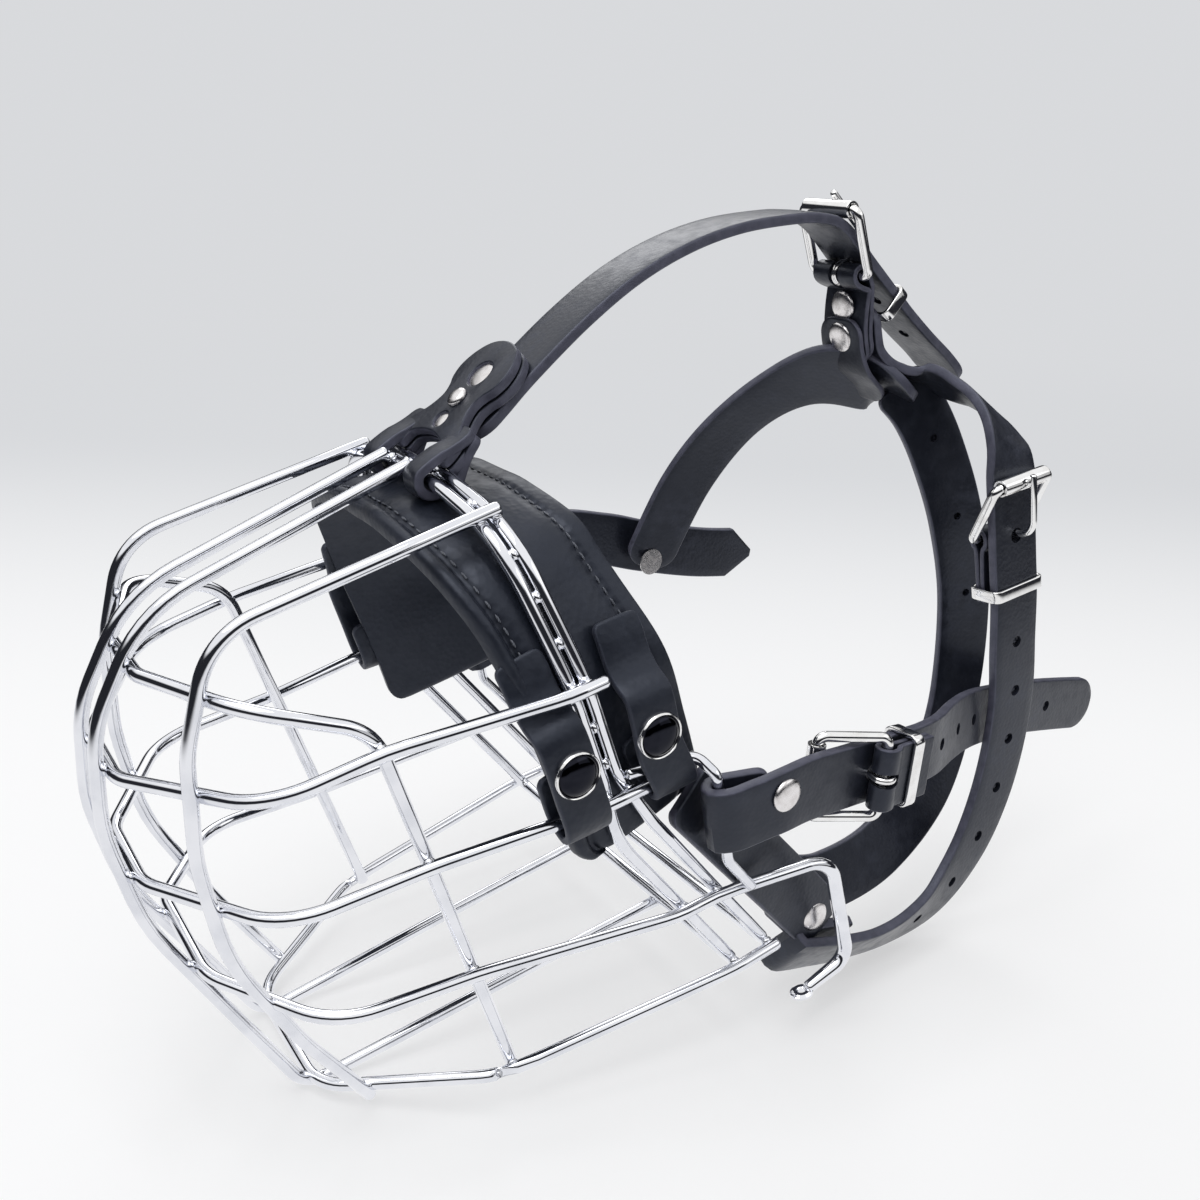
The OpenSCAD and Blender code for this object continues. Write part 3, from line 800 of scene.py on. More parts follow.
buckle = dict(wire=2.6, long=15, roller=4.4, prong=1.8, gap=0.3, side=0.8, corner=2.2, fold=1.4)
barR = buckle["wire"] / 2
rollerZ = strap["thick"] / 2 + buckle["gap"] + buckle["roller"] / 2
barZ = -(strap["thick"] / 2 + 2 * buckle["gap"] + barR + buckle["fold"])
frameY = strap["wide"] / 2 + buckle["side"] + barR


def axes(origin, x, z):
    # a place with its own x along the strap and z out of its face
    x, z = Vector(x).normalized(), Vector(z).normalized()
    y = z.cross(x)
    return Matrix(((x.x, y.x, z.x, origin[0]), (x.y, y.y, z.y, origin[1]),
                   (x.z, y.z, z.z, origin[2]), (0, 0, 0, 1)))


cheekX = Vector((0.95, 0.09, -0.26)).normalized()
collarX = Vector((-0.06, -0.09, -0.994)).normalized()
cheekZ = cheekX.cross(Vector((-0.26, 0, -0.95)))
collarZ = collarX.cross(Vector((0.994, 0, -0.06)))
buckles = dict(
    crown=dict(at=axes((145.8, 0, 154.6), (0.62, 0, -0.785), (0.785, 0, 0.62)), keeper=29),
    cheek=dict(at=axes((81, -62.5, 46), cheekX, cheekZ), keeper=24),
    collar=dict(at=axes((168.2, -41, 87), collarX, collarZ), keeper=30),
)


def onBuckle(which, x, y=0, z=0):
    return buckles[which]["at"] @ Vector((x, y, z))


def stoodBuckle(which):
    return stood @ buckles[which]["at"]


def faceOf(which):
    return buckles[which]["at"].to_3x3() @ Vector((0, 0, 1))


keeper = dict(wide=3.3, thick=1.0, corner=1.7, ease=0.3)


def keeperBand(name, which):
    # a flat band bent round the strap and its fold, with rounded corners
    wide, thick, corner = keeper["wide"], keeper["thick"], keeper["corner"]
    y = strap["wide"] / 2 + buckle["gap"] + thick / 2
    top = strap["thick"] / 2 + buckle["gap"] + thick / 2
    low = barZ - buckle["fold"] - buckle["gap"] - thick / 2
    corners = ((y - corner, low + corner, -90), (y - corner, top - corner, 0),
               (corner - y, top - corner, 90), (corner - y, low + corner, 180))
    section = strapSection(wide, thick, keeper["ease"], 0.0, 2)
    rings = []
    for cy, cz, start in corners:
        for step in range(7):
            angle = radians(start + 15 * step)
            away = Vector((0, cos(angle), sin(angle)))
            centre = Vector((buckles[which]["keeper"], cy, cz)) + away * corner
            rings.append([stoodBuckle(which) @ (centre + Vector((a, 0, 0)) + away * b)
                          for a, b, mark in section])
    return ringed(name, rings, closed=True)


sleeve = dict(short=1, play=0.28, seam=0.9, lips=[(0, 0.86), (0.12, 0.95), (0.35, 1)])


def rolledSleeve(name, which):
    # a strip of metal rolled round the front bar, its seam left open a hair
    end = (2 * (frameY - barR) - sleeve["short"]) / 2
    outer, inner = buckle["roller"] / 2, barR + sleeve["play"]
    turns = [radians(a) for a in range(8, 353, 8)]
    strip = [(outer, a) for a in turns] + [(inner, a) for a in turns[::-1]]
    stops = [(inset - end, slim) for inset, slim in sleeve["lips"]]
    stops += [(-y, slim) for y, slim in stops[::-1]]
    rings = []
    for y, slim in stops:
        ring = [(inner + (r - inner) * slim, a + sleeve["seam"]) for r, a in strip]
        rings.append([stoodBuckle(which) @ Vector((r * cos(a), y, rollerZ + r * sin(a)))
                      for r, a in ring])
    return ringed(name, rings, angle=30)


prong = dict(play=0.08, curl=range(100, -190, -15), neck=[(1.9, 1.8), (0.9, 3.2)],
             shoulder=0.4, droop=0.1, bends=[4.5, 30])


def prongWire(name, which):
    # the tongue: curled round the rear bar, up through the strap, forward over the roller
    radius, long, roller = buckle["prong"] / 2, buckle["long"], buckle["roller"]
    curl = barR + radius + prong["play"]
    top = rollerZ + roller / 2 + buckle["gap"] + radius
    path = [(long + curl * cos(radians(a)), 0, barZ + curl * sin(radians(a)))
            for a in prong["curl"]]
    low, high = [(long - back, 0, barZ + up) for back, up in prong["neck"]]
    path += [low] + filleted([high, (long - prong["shoulder"], 0, top - prong["shoulder"]),
                              (roller, 0, top - prong["droop"]), (-roller / 2, 0, top)],
                             prong["bends"])
    return bentWire(name, path, radius, "buckleChrome", stoodBuckle(which))


def makeBuckle(which):
    middle, long = (0, 0, rollerZ), buckle["long"]
    corners = [(0, -frameY, rollerZ), (long, -frameY, barZ), (long, frameY, barZ),
               (0, frameY, rollerZ)]
    loop = filleted([middle] + corners + [middle], [buckle["corner"]] * 4)[1:]
    bar = bentWire(which + "Buckle", loop, barR, "buckleChrome", stoodBuckle(which), True)
    mounted(bar, "buckleChrome", [which + "_buckle"])
    for part, make in dict(roller=rolledSleeve, prong=prongWire, keeper=keeperBand).items():
        moving = which + "_" + part
        mounted(make(camel(moving), which), "buckleChrome", [moving], moving)


for which in buckles:
    makeBuckle(which)
print("buckles bent:", len(buckles))


def along(which, marks):
    return [onBuckle(which, x) for x in marks]


def floorAt(x):
    tilt = radians(standing["tilt"])
    return -(standing["lift"] + x * sin(tilt)) / cos(tilt)


def lowAt(x, lean=0):
    # the height of a strap's middle where its lower edge rests on the floor
    lean = radians(lean)
    deep = strap["wide"] / 2 * cos(lean) + strap["thick"] / 2 * sin(lean)
    return floorAt(x) + deep / cos(radians(standing["tilt"])) + 0.3


def leant(lean):
    # the outer face of the near strap, turned towards the floor
    return Vector((0, -cos(radians(lean)), -sin(radians(lean))))


def foldedEnd(turnAt, ahead, face, radius=2.3):
    return [turnAt + radius * (cos(a) * ahead + sin(a) * -face)
            for a in (-1.57, -0.8, 0, 0.8, 1.57)]


link = dict(tilt=32, thick=5.2, long=25, short=11.5, level=1.32)
linkAt = ((rimAt(basket["rimZ"]) + rimRearAt(basket["rimZ"])) / 2, 0, basket["rimZ"])
linkPlace = Matrix.Translation(linkAt) @ Matrix.Rotation(radians(-link["tilt"]), 4, "Y")
linkUp = linkPlace.to_3x3() @ Vector((0, 0, 1))


def underLink(x):
    return linkPlace @ Vector((x, 0, -link["thick"] / 2 - buckle["gap"] - strap["thick"] / 2))


# each line gives the points of a strap's middle, and the way that its face looks at each
def foreheadLine():
    points = ([underLink(x) for x in (12, 22, 32)]
              + [(69, 0, 148.6), (84, 0, 154.8), (99, 0, 158.4), (114, 0, 159.6),
                 (129, 0, 158.6), (139.5, 0, 156.8)]
              + along("crown", [2, 16, 30, 36])
              + [(175, 0, 118.5), (183, 0, 110), (190, 0, 101)])
    faces = ([(-0.5, 0, 1)] * 3
             + [(-0.4, 0, 1), (-0.3, 0, 1), (-0.1, 0, 1), (0, 0, 1), (0.1, 0, 1), (0.3, 0, 1)]
             + [faceOf("crown")] * 4 + [(1, 0, 0.8)] * 3)
    return points, faces


def yokeLine():
    points = [(112, 51, 55), (124, 41, 81), (135.7, 29, 99), (147.5, 16, 108.5),
              (159.6, 0, 109.6), (167.8, -8.8, 103.2)]
    faces = [(0.3, 1, 0.2), (0.4, 0.9, 0.4), (0.5, 0.6, 0.6), (0.8, 0.4, 0.6),
             (0.9, 0, 0.43), (0.8, -0.4, 0.43)]
    return points, faces


def farCheekLine():
    x, y, z = mirrored([ringLow()])[0]
    points = [(x + 12, y - 0.6, 57.5), (x + 6, y - 1.9, 53.5), (x, y - 3.15, 49.5),
              (x - 3.15, y, 48.7), (x, y + 3.15, 49.5), (x + 7, y + 2.4, 54.5),
              (70, 60.5, 64), (84, 59, 71.5), (101, 57, 66), (115, 55.5, 59),
              (134.6, 55, 50), (154.6, 55, 43)]
    return points, [(0, -1, 0)] * 3 + [(-1, 0, 0)] + [(0.1, 1, 0)] * 8


def cheekLine():
    x, y, z = ringLow()
    points = ([(x + 12, y - 1.7, 47.8), (x + 6, y + 0.9, 48.3), (x, y + 3.15, 48.6),
               (x - 3.15, y, 48.7), (x, y - 3.15, 48.7), (x + 6, y - 4.3, 48.7),
               onBuckle("cheek", -14) - Vector((0, 0, 1))]
              + along("cheek", [-5, 5, 15, 24, 32])
              + [(122, -56.8, 34.4), (134, -50.8, 30.4), (147, -44.4, 24.9),
                 (161, -39.6, 18.7), (177, -36.7, 12.2), (194, -34.4, 4.7), (214, -32, -4.5)])
    faces = ([(0, 1, 0)] * 3 + [(-1, 0, 0)] + [-faceOf("cheek")] * 8
             + [(0.25, -0.96, 0), (0.4, -0.9, 0), (0.4, -0.9, 0), (0.25, -0.95, 0)]
             + [(0.12, -0.99, 0)] * 3)
    return points, faces


def collarLine():
    # down over the nape, then along the floor, leaning, to a folded end at the bail
    turnAt = Vector((78.6, -46.4, -12.0))
    nose = foldedEnd(turnAt, Vector((-0.90, 0, 0.43)), leant(40))
    points = ([(156.7, 0, 130.5), (156.3, 0, 124), (158.4, -0.5, 117.2),
               (164.6, -3.4, 111.2), (171.4, -10, 108), (172.6, -21, 106),
               (171.4, -32, 101.8), (169.4, -38.7, 95.8)]
              + along("collar", [-2, 6, 15, 24, 33])
              + [(164.8, -44.8, 41), (164.3, -44.8, 26), (161.5, -44.5, 10),
                 (155.4, -44.5, -5.5), (146, -44.8, -18.2),
                 (132.5, -45.2, lowAt(132.5, 17) + 4.1), (117, -45.8, lowAt(117, 30)),
                 (102, -46.6, -25), (88.5, -47.8, -18.6)]
              + nose + [(87, -44.4, -14.6), (97, -43.6, -19.6)])
    faces = ([(1, 0, 0.1), (1, 0, 0.1), (0.95, -0.1, 0.3), (0.85, -0.2, 0.5),
              (0.75, -0.4, 0.5), (0.62, -0.6, 0.5), (0.45, -0.8, 0.35), (0.2, -0.95, 0.2)]
             + [faceOf("collar")] * 5 + [(0, -1, 0)] * 2
             + [leant(a) for a in (0, 3, 8, 17, 30, 40, 42)]
             + [p - turnAt for p in nose] + [-leant(40)] * 2)
    return points, faces


def innerCollarLine():
    points = [(166.5, -3, 107), (170.5, -7, 99), (173.5, -11, 86), (176, -15, 66),
              (176.5, -17, 41), (168.3, -20, 11.4), (150, -26, -7), (122, -35, -10),
              (98, -39, -6), (84, -40, 1)]
    return points, [(-0.3, -1, 0)] * 6 + [(-0.2, -1, 0.5)] * 4


def throatLine():
    turnAt = Vector((87.2, -47.0, -6.6))
    nose = foldedEnd(turnAt, Vector((0.53, 0.05, -0.85)), Vector((0, -1, 0)))
    points = ([(51.5, -50.4, 52.5), (57.8, -50.8, 42), (65, -50.6, 30), (72.4, -50.3, 18),
               (79.4, -49.8, 6.5)] + nose + [(83, -44.9, 0.4), (79.5, -45.1, 6)])
    faces = ([(0, -1, 0.3)] * 4 + [(0, -1, 0.1)] + [p - turnAt for p in nose]
             + [(0, 1, 0)] * 2)
    return points, faces


def yokeSwell(s):
    # the yoke widens where the tab from the crown is riveted to it
    return (-5.5 * exp(-((s - 97) / 13) ** 2), 4.5 * exp(-((s - 86) / 12) ** 2))


# tips: the corners or the point of both ends; holes: counted in pitches from the prong's
straps = dict(
    forehead_strap=dict(line=foreheadLine, tips=(dict(corner=7), dict(corner=8)),
                        holes=("crown", [1, 2, 3])),
    neck_yoke=dict(line=yokeLine, tips=(dict(corner=6), dict(corner=7.5)), swell=yokeSwell),
    cheek_strap_far=dict(line=farCheekLine, tips=(dict(corner=3), dict(point=9))),
    cheek_strap=dict(line=cheekLine, tips=(dict(corner=3), dict(corner=8)),
                     holes=("cheek", [1, 3, 4, 5, 6, 7, 8])),
    collar_strap=dict(line=collarLine, tips=(dict(corner=5), dict(corner=3)),
                      holes=("collar", [1, 3, 4, 5, 6, 7, 8, 9])),
    collar_inner=dict(line=innerCollarLine, tips=(dict(corner=3), dict(corner=5)),
                      blindHoles=[1.6, 3.2, 4.8]),
    throat_strap=dict(line=throatLine, tips=(dict(corner=3), dict(corner=3))),
)


def holesAlong(trail, first, counts, hole):
    spots = []
    for s in [first + (count - 1) * strap["pitch"] for count in counts]:
        if s < trail.length - strap["clear"]:
            spot, across, out, ahead = trail.at(s)
            spots.append((spot, out, ahead, punchSize(hole)))
    return spots


def makeStrap(name, line, tips, holes=None, blindHoles=None, swell=None):
    trail = Trail(*line())
    piece = ribbon(camel(name), trail, strapSection(strap["wide"], strap["thick"]), tips,
                   swell=swell)
    if blindHoles:
        spots = holesAlong(trail, blind["start"], blindHoles, blind["wide"])
        piece = punched(piece, [(place + blind["shallow"] * out, out, ahead, size)
                                for place, out, ahead, size in spots])
    if holes:
        which, counts = holes
        spots = holesAlong(trail, trail.nearest(onBuckle(which, buckle["long"])), counts,
                           strap["hole"])
        spots[0] = (*spots[0][:3], punchSize(strap["prongHole"]))
        piece = punched(piece, spots)
        slugs = [(place - slug["sunk"] * out, out, ahead, slug["size"])
                 for place, out, ahead, size in spots[1:]]
        scattered(camel(name) + "Slugs", bead, slugs, "strapLeather")
    mounted(piece, "strapLeather", [name])


for name, made in straps.items():
    makeStrap(name, **made)
print("straps cut:", len(straps))

# thinned leather folded round the buckles' rear bars, with a slot for the prong
fold = dict(half=[(19.5, 0.95), (17, 2.0), (15, 2.3), (13.4, 1.6), (12.7, 0)], end=0.74,
            narrow=0.4, thick=1.38, ease=0.4, slot=(4.6, 1.8, 6),
            lengths=dict(cheek_fold=16, collar_fold=18, crown_tab=5))


def foldLine(name):
    half = [(buckle["long"] + fold["lengths"][name], fold["end"])] + fold["half"]
    points = [(x, 0, barZ - z) for x, z in half] + [(x, 0, barZ + z) for x, z in half[-2::-1]]
    faces = ([(0, 0, -1)] * 4 + [(-0.7, 0, -0.7), (-1, 0, 0), (-0.7, 0, 0.7)]
             + [(0, 0, 1)] * 4)
    return points, faces


def prongSlot(at=Matrix()):
    turn = at.to_3x3()
    return [(at @ Vector((buckle["long"] - 1, 0, barZ)), turn @ Vector((0, 0, 1)),
             turn @ Vector((1, 0, 0)), fold["slot"])]


def makeFold(name):
    at = stoodBuckle(name.split("_")[0])
    section = strapSection(strap["wide"] - fold["narrow"], fold["thick"], fold["ease"], 0.0)
    piece = ribbon(camel(name), Trail(*foldLine(name)), section, place=at, spacing=0.7)
    mounted(punched(piece, prongSlot(), at), "strapLeather", [name])


makeFold("cheek_fold")
makeFold("collar_fold")

# a double strap from the crown buckle's bar down to the yoke
crownTab = dict(inner=[(153.1, 0, 115.8), (152.0, 0, 124), (152.7, 0, 130.3)],
                outer=[(154.5, 0, 130.7), (153.7, 0, 124), (154.8, 0, 116.8)],
                narrow=0.5, thick=1.4, ease=0.4, belly=0.05, tips=dict(corner=5))
yokeStem = dict(line=[(160.6, 1, 103.5), (157.4, 0.5, 108.4), (152.8, 0, 114),
                      (150.9, 0, 119.5), (150.5, 0, 124), (150.5, 0, 128.6)],
                wide=15, tips=(dict(corner=7), dict(corner=5)))


def makeCrownTab():
    points, faces = foldLine("crown_tab")
    at = buckles["crown"]["at"]
    turn = at.to_3x3()
    path = vectors(crownTab["inner"]) + [at @ Vector(p) for p in points]
    path += vectors(crownTab["outer"])
    looks = (vectors([(-1, 0, -0.2)] * 3) + [turn @ Vector(f) for f in faces]
             + vectors([(1, 0, 0.2)] * 3))
    section = strapSection(strap["wide"] - crownTab["narrow"], crownTab["thick"],
                           crownTab["ease"], crownTab["belly"])
    piece = ribbon("crownTab", Trail(path, looks), section, (crownTab["tips"],) * 2,
                   spacing=0.8)
    mounted(punched(piece, prongSlot(at)), "strapLeather", ["crown_tab"])


def makeYokeStem():
    # the yoke's short upright, riveted to the crown tab
    trail = Trail(yokeStem["line"], [(-1, 0, -0.5)] * 3 + [(-1, 0, 0)] * 3)
    section = strapSection(yokeStem["wide"], crownTab["thick"], crownTab["ease"],
                           crownTab["belly"])
    mounted(ribbon("yokeStem", trail, section, yokeStem["tips"], spacing=0.8),
            "strapLeather")


makeCrownTab()
makeYokeStem()

# the crown link: two riveted leather plates, with arms rolled round the rim wires
plate = dict(
    outline=[(8.6, 0), (8.0, 4.4), (6.6, 7.6), (3.4, 8.2), (2.6, 10.8), (3.4, 13.3),
             (7.4, 13.0), (10.4, 10.4), (13.4, 8.0), (17.2, 6.6), (20.2, 7.4), (22.6, 9.0),
             (26, 9.6), (30, 8.2), (33.2, 5.0), (34.4, 0)],
    thick=2.3, ease=0.45, holes=[(link["long"], 3.9), (link["short"], 2.6)],
    weld=0.02, cut=0.2)


def rounded(points, fine=6):
    # a closed smooth outline through the points of one half and their mirror images
    ring = [Vector((x, y, 0)) for x, y in points]
    ring += [Vector((x, -y, 0)) for x, y in points[-2:0:-1]]
    made = []
    for i in range(len(ring)):
        corners = [ring[(i + k) % len(ring)] for k in (-1, 0, 1, 2)]
        made += [eased(*corners, k / fine) for k in range(fine)]
    return made


def platePiece(name, level):
    data = bpy.data.curves.new(name, "CURVE")
    data.dimensions, data.fill_mode = "2D", "BOTH"
    data.bevel_depth, data.bevel_resolution = plate["ease"] * mm, 3
    data.extrude = (plate["thick"] / 2 - plate["ease"]) * mm
    holes = [[(x + c, d) for c, d in circle(40, r)] for x, r in plate["holes"]]
    for ring in [rounded(plate["outline"])] + holes:
        spline = data.splines.new("POLY")
        spline.points.add(len(ring) - 1)
        for point, place in zip(spline.points, ring):
            point.co = (place[0] * mm, place[1] * mm, 0, 1)
        spline.use_cyclic_u = True
    made = evaluated(name, linked(name + "Outline", data))
    tipped = (stood @ linkPlace @ Matrix.Translation((0, 0, level))
              @ Matrix.Scale(1 / mm, 4))
    work = bmesh.new()
    work.from_mesh(made.data)
    bmesh.ops.remove_doubles(work, verts=work.verts, dist=plate["weld"] * mm)
    layer = work.verts.layers.float.new("cut")
    for vert in work.verts:
        side = abs(vert.co.z) < (plate["thick"] / 2 - plate["cut"]) * mm
        vert[layer] = 1.0 if side else 0.0
    bmesh.ops.transform(work, matrix=tipped, verts=work.verts)
    bmesh.ops.recalc_face_normals(work, faces=work.faces)
    work.to_mesh(made.data)
    work.free()
    creased(made.data)
    return made


arm = dict(reach=3.15, apart=10.8, wires=1.8, wide=6.2, thick=2.2, ease=0.5, belly=0.1,
           tips=dict(corner=2.5), start=[(12.5, 0, 0.7), (9, 0, 1.25), (6, 0, 2.1), (3.0, 0, 3.2)],
           end=[(6.2, 0, -2.2), (9, 0, -1.3), (12.5, 0, -0.7)],
           front=(100, 135, 170, 205, 240), rear=(262, 300))


def rolledArm(name, side):
    # one arm of the link, rolled round the two rim wires and back under itself
    slope, wires = radians(link["tilt"]), arm["wires"]
    front, rear = (Vector((s * wires * cos(slope), 0, -s * wires * sin(slope)))
                   for s in (-1, 1))

    def away(angle):
        angle = radians(angle)
        return Vector((arm["reach"] * cos(angle), 0, arm["reach"] * sin(angle)))

    bent = [front + away(a) for a in arm["front"]] + [rear + away(a) for a in arm["rear"]]
    points = vectors(arm["start"]) + bent + vectors(arm["end"])
    centres = [front] * len(arm["front"]) + [rear] * len(arm["rear"])
    faces = (vectors([(0, 0, 1)] * 4) + [p - c for p, c in zip(bent, centres)]
             + vectors([(0, 0, -1)] * 3))
    shift = Vector((0, side * arm["apart"], 0))
    section = strapSection(arm["wide"], arm["thick"], arm["ease"], arm["belly"])
    return ribbon(name, Trail([p + shift for p in points], faces), section,
                  (arm["tips"],) * 2, spacing=0.6, place=stood @ linkPlace)


def makeLink():
    for name, level in dict(Upper=link["level"], Lower=-link["level"]).items():
        mounted(platePiece("linkPlate" + name, level), "strapLeather", ["crown_link"])
    for name, side in sides.items():
        mounted(rolledArm("linkArm" + name, side), "strapLeather", ["crown_link"])


makeLink()
print("link rolled")

# the nose pad: a stuffed saddle with a rolled front edge, two seams and a backing
pad = dict(
    wide=36, thick=3.4, seam=13.0, crown=0.75, groove=0.75, lip=1.75, stitch=2.9, corner=5,
    y=basket["rimY"] - lap - 1.5 - 0.3 - 1.7 - 1, near=[0, 0.3, 0.8, 1.6, 2.6, 4, 6], inside=7,
    columns=(11, 27, 8), slim=(0.55, 0.5), pucker=(0.75, 0.25), grooveWide=0.9,
    under=(0.25, 0.35), thread=(1.05, 0.28, 0.26), proud=0.12, ends=8)


def padLine():
    y, rimZ = pad["y"], basket["rimZ"]
    half = [(40.5, -y, 48), (38.5, -y, 66), (35.5, -y, 84), (31.5, -40.4, 102),
            (28.5, -32, rimZ - 13), (27, -13, rimZ - 7.4), (27, 0, rimZ - 7)]
    points = vectors(half) + mirrored(half[:-1])[::-1]
    return Trail(points, [(0.08, p.y / 60, 1 if p.z > 101 else 0.01) for p in points])


padTrail = padLine()


def padTop(a, s):
    # height of the outer face at a distance across the pad
    seam, half = pad["seam"], pad["wide"] / 2
    puffed = pad["crown"] * max(0.0, 1 - (a / seam) ** 4) if abs(a) < seam else 0.0
    even, wave = pad["pucker"]
    pull = even + wave * cos(2 * pi * s / pad["stitch"])
    grooved = (pad["groove"] * pull
               * exp(-((abs(a) - seam) / pad["grooveWide"]) ** 2))
    if a < -seam:
        rolled = pad["lip"] ** 2 - (a + half - pad["lip"]) ** 2
        return max(0.6, 0.55 + sqrt(max(rolled, 0.0))) - 0.3 * grooved
    dropped = (0.5 * ((a - half + 1) if a > half - 1 else 0)) ** 2
    return pad["thick"] / 2 - 0.2 + puffed - grooved - dropped


def padStops():
    near, length = pad["near"], padTrail.length
    between = np.arange(pad["inside"], length - pad["inside"], pad["stitch"] / 4)
    return sorted(set(near + list(between) + [length - n for n in near]))


def makePad():
    half, seam = pad["wide"] / 2, pad["seam"]
    front, middle, rear = pad["columns"]
    columns = np.concatenate([np.linspace(-half, -seam - 0.4, front),
                              np.linspace(-seam, seam, middle),
                              np.linspace(seam + 0.5, half, rear)])
    thin, fuller = pad["slim"]
    less, hollow = pad["under"]
    rings = []
    for s in padStops():
        spot, across, out, ahead = padTrail.at(s, 1.5)
        gap = min(s, padTrail.length - s)
        wide = halfWidthAt(gap, half, dict(corner=pad["corner"])) / half
        slim = min(1.0, thin + fuller * gap)
        top = [(a, padTop(a, s) * slim) for a in columns]
        under = [(a, -(pad["thick"] / 2 - less + hollow * (1 - (a / half) ** 2)) * slim)
                 for a in columns[::-1]]
        rings.append([stood @ (spot + across * a * wide + out * b) for a, b in top + under])
    piece = mounted(ringed("nosePad", rings, angle=60), "padLeather", ["nose_pad"])


makePad()
stitch = roundShape("stitch", bmesh.ops.create_uvsphere, u_segments=8, v_segments=6)


def padStitches():
    spots, half = [], pad["stitch"] / 2
    for a in (pad["seam"], -pad["seam"]):
        for s in np.arange(pad["ends"], padTrail.length - pad["ends"], pad["stitch"]):
            spot, across, out, ahead = padTrail.at(s + half, 1.5)
            spots.append((spot + across * a + out * (padTop(a, half) + pad["proud"]),
                          out, ahead, pad["thread"]))
    return spots


scattered("padStitching", stitch, padStitches(), "thread")

# the pad's tabs: strips folded under the middle bow, each closed by a snap
tab = dict(wide=11, thick=1.8, out=basket["rimY"] + 2.6, low=61.5, snapZ=75, snap=10.5,
           snapHigh=2.6, ease=0.5, belly=0.15, tips=dict(corner=2))
tab["in"] = pad["y"] + pad["thick"] / 2 + tab["thick"] / 2 - 0.1
tabs = dict(Front=(21.7, 0.12, 0.12), Rear=(42, 0.27, 0))  # place, and lean below and above


def tabTrail(side, x0, below, above):
    inside, outside, low = tab["in"], tab["out"], tab["low"]
    line = [(inside - 3.4, 98.5), (inside - 1.6, 94.5), (inside - 0.1, 90),
            (inside + 2.6, 86.5), (outside - 1.2, 84), (outside, 79), (outside, 71),
            (outside, low + 0.5), ((outside + inside) / 2, low - (outside - inside) / 2),
            (inside, low + 0.5), (inside, 72)]
    points = [(x0 - below * min(0, z - 73) - above * max(0, z - 73), side * y, z)
              for y, z in line]
    return Trail(points, [(0, side, 0)] * 8 + [(0, 0, -1)] + [(0, -side, 0)] * 2)


def capShape(name, profile, count=40):
    # a turned shape from (radius, height) pairs that start and end on the axis
    work = bmesh.new()
    rows = []
    for radius, height in profile:
        ring = circle(count, radius) if radius else [(0, 0)]
        rows.append([work.verts.new((x, y, height)) for x, y in ring])
    for first, second in zip(rows, rows[1:]):
        for k in range(count):
            j = (k + 1) % count
            if len(first) == 1:
                work.faces.new((first[0], second[k], second[j]))
            elif len(second) == 1:
                work.faces.new((first[k], first[j], second[0]))
            else:
                work.faces.new((first[k], first[j], second[j], second[k]))
    bmesh.ops.recalc_face_normals(work, faces=work.faces)
    return hidden(linked(name, creased(meshOf(name, work))))


snapRim = capShape("snapRimShape", [(0, 0), (1, 0), (1.0, 0.25), (0.985, 0.42), (0.94, 0.5),
                                    (0.89, 0.42), (0.87, 0.28), (0, 0.28)])
snapDome = capShape("snapDomeShape", [(0, 0), (0.88, 0), (0.87, 0.3), (0.8, 0.5),
                                      (0.6, 0.68), (0.3, 0.78), (0.1, 0.8), (0, 0.8)])


def makeTabs():
    section = strapSection(tab["wide"], tab["thick"], tab["ease"], tab["belly"])
    spots = []
    for sideName, side in sides.items():
        for tabName, lean in tabs.items():
            piece = ribbon("tab" + tabName + sideName, tabTrail(side, *lean), section,
                           (tab["tips"],) * 2, spacing=0.9)
            mounted(piece, "padLeather", ["pad_tabs"])
            spots.append(((lean[0], side * (tab["out"] + tab["thick"] / 2), tab["snapZ"]),
                          (0, side, 0), (1, 0, 0),
                          (tab["snap"] / 2, tab["snap"] / 2, tab["snapHigh"])))
    scattered("snapRims", snapRim, spots, "buckleChrome", ["snap_caps"])
    scattered("snapDomes", snapDome, spots, "snapLacquer", ["snap_caps"])


makeTabs()
print("pad and tabs sewn")

rivetHead = capShape("rivetShape", [(0, 0), (1, 0), (0.99, 0.3), (0.93, 0.55), (0.8, 0.74),
                                    (0.55, 0.9), (0.25, 0.98), (0, 1)])
rivet = dict(wide=8, linkWide=5, high=1.25, turned=(0.3, 0.2, 1))
eyelet = dict(level=1.3, high=0.9, heads=[(link["long"], 3.7), (link["short"], 2.45)])


def cheekHead(side):
    # a head on one face of the near cheek strap, in front of its buckle
    return onBuckle("cheek", -14, -1, side * strap["thick"] / 2), side * faceOf("cheek")


def makeRivets():
    rivets = dict(
        link_rivet=[(linkPlace @ Vector((17.6, 0, link["thick"] / 2)), linkUp)],
        tab_rivets=[((152.2 - 0.6, 0, 131.5), (-1, 0, 0)), ((150.1, 0, 123.5), (-1, 0, -0.1))],
        far_rivet=[((112, 47.5, 57), (0, 1, 0))],
        cheek_rivet=[cheekHead(1), cheekHead(-1)],
        throat_rivet=[((84.6, -50.4, -2.6), (0, -1, 0.05))])
    for name, heads in rivets.items():
        wide = rivet["linkWide" if name == "link_rivet" else "wide"]
        spots = [(place, up, rivet["turned"], (wide / 2, wide / 2, rivet["high"]))
                 for place, up in heads]
        scattered(camel(name), rivetHead, spots, "rivetNickel", [name])


def makeEyelets():
    # bright heads sunk in the two holes of the link
    spots = [(linkPlace @ Vector((x, 0, eyelet["level"])), linkUp, rivet["turned"],
              (size, size, eyelet["high"])) for x, size in eyelet["heads"]]
    scattered("linkEyelets", rivetHead, spots, "rivetNickel")


bailEye = dict(at=(72.6, -15.2), out=4, outer=2.5, inner=0.75, thick=1.7, long=1.25,
               lean=0.14)


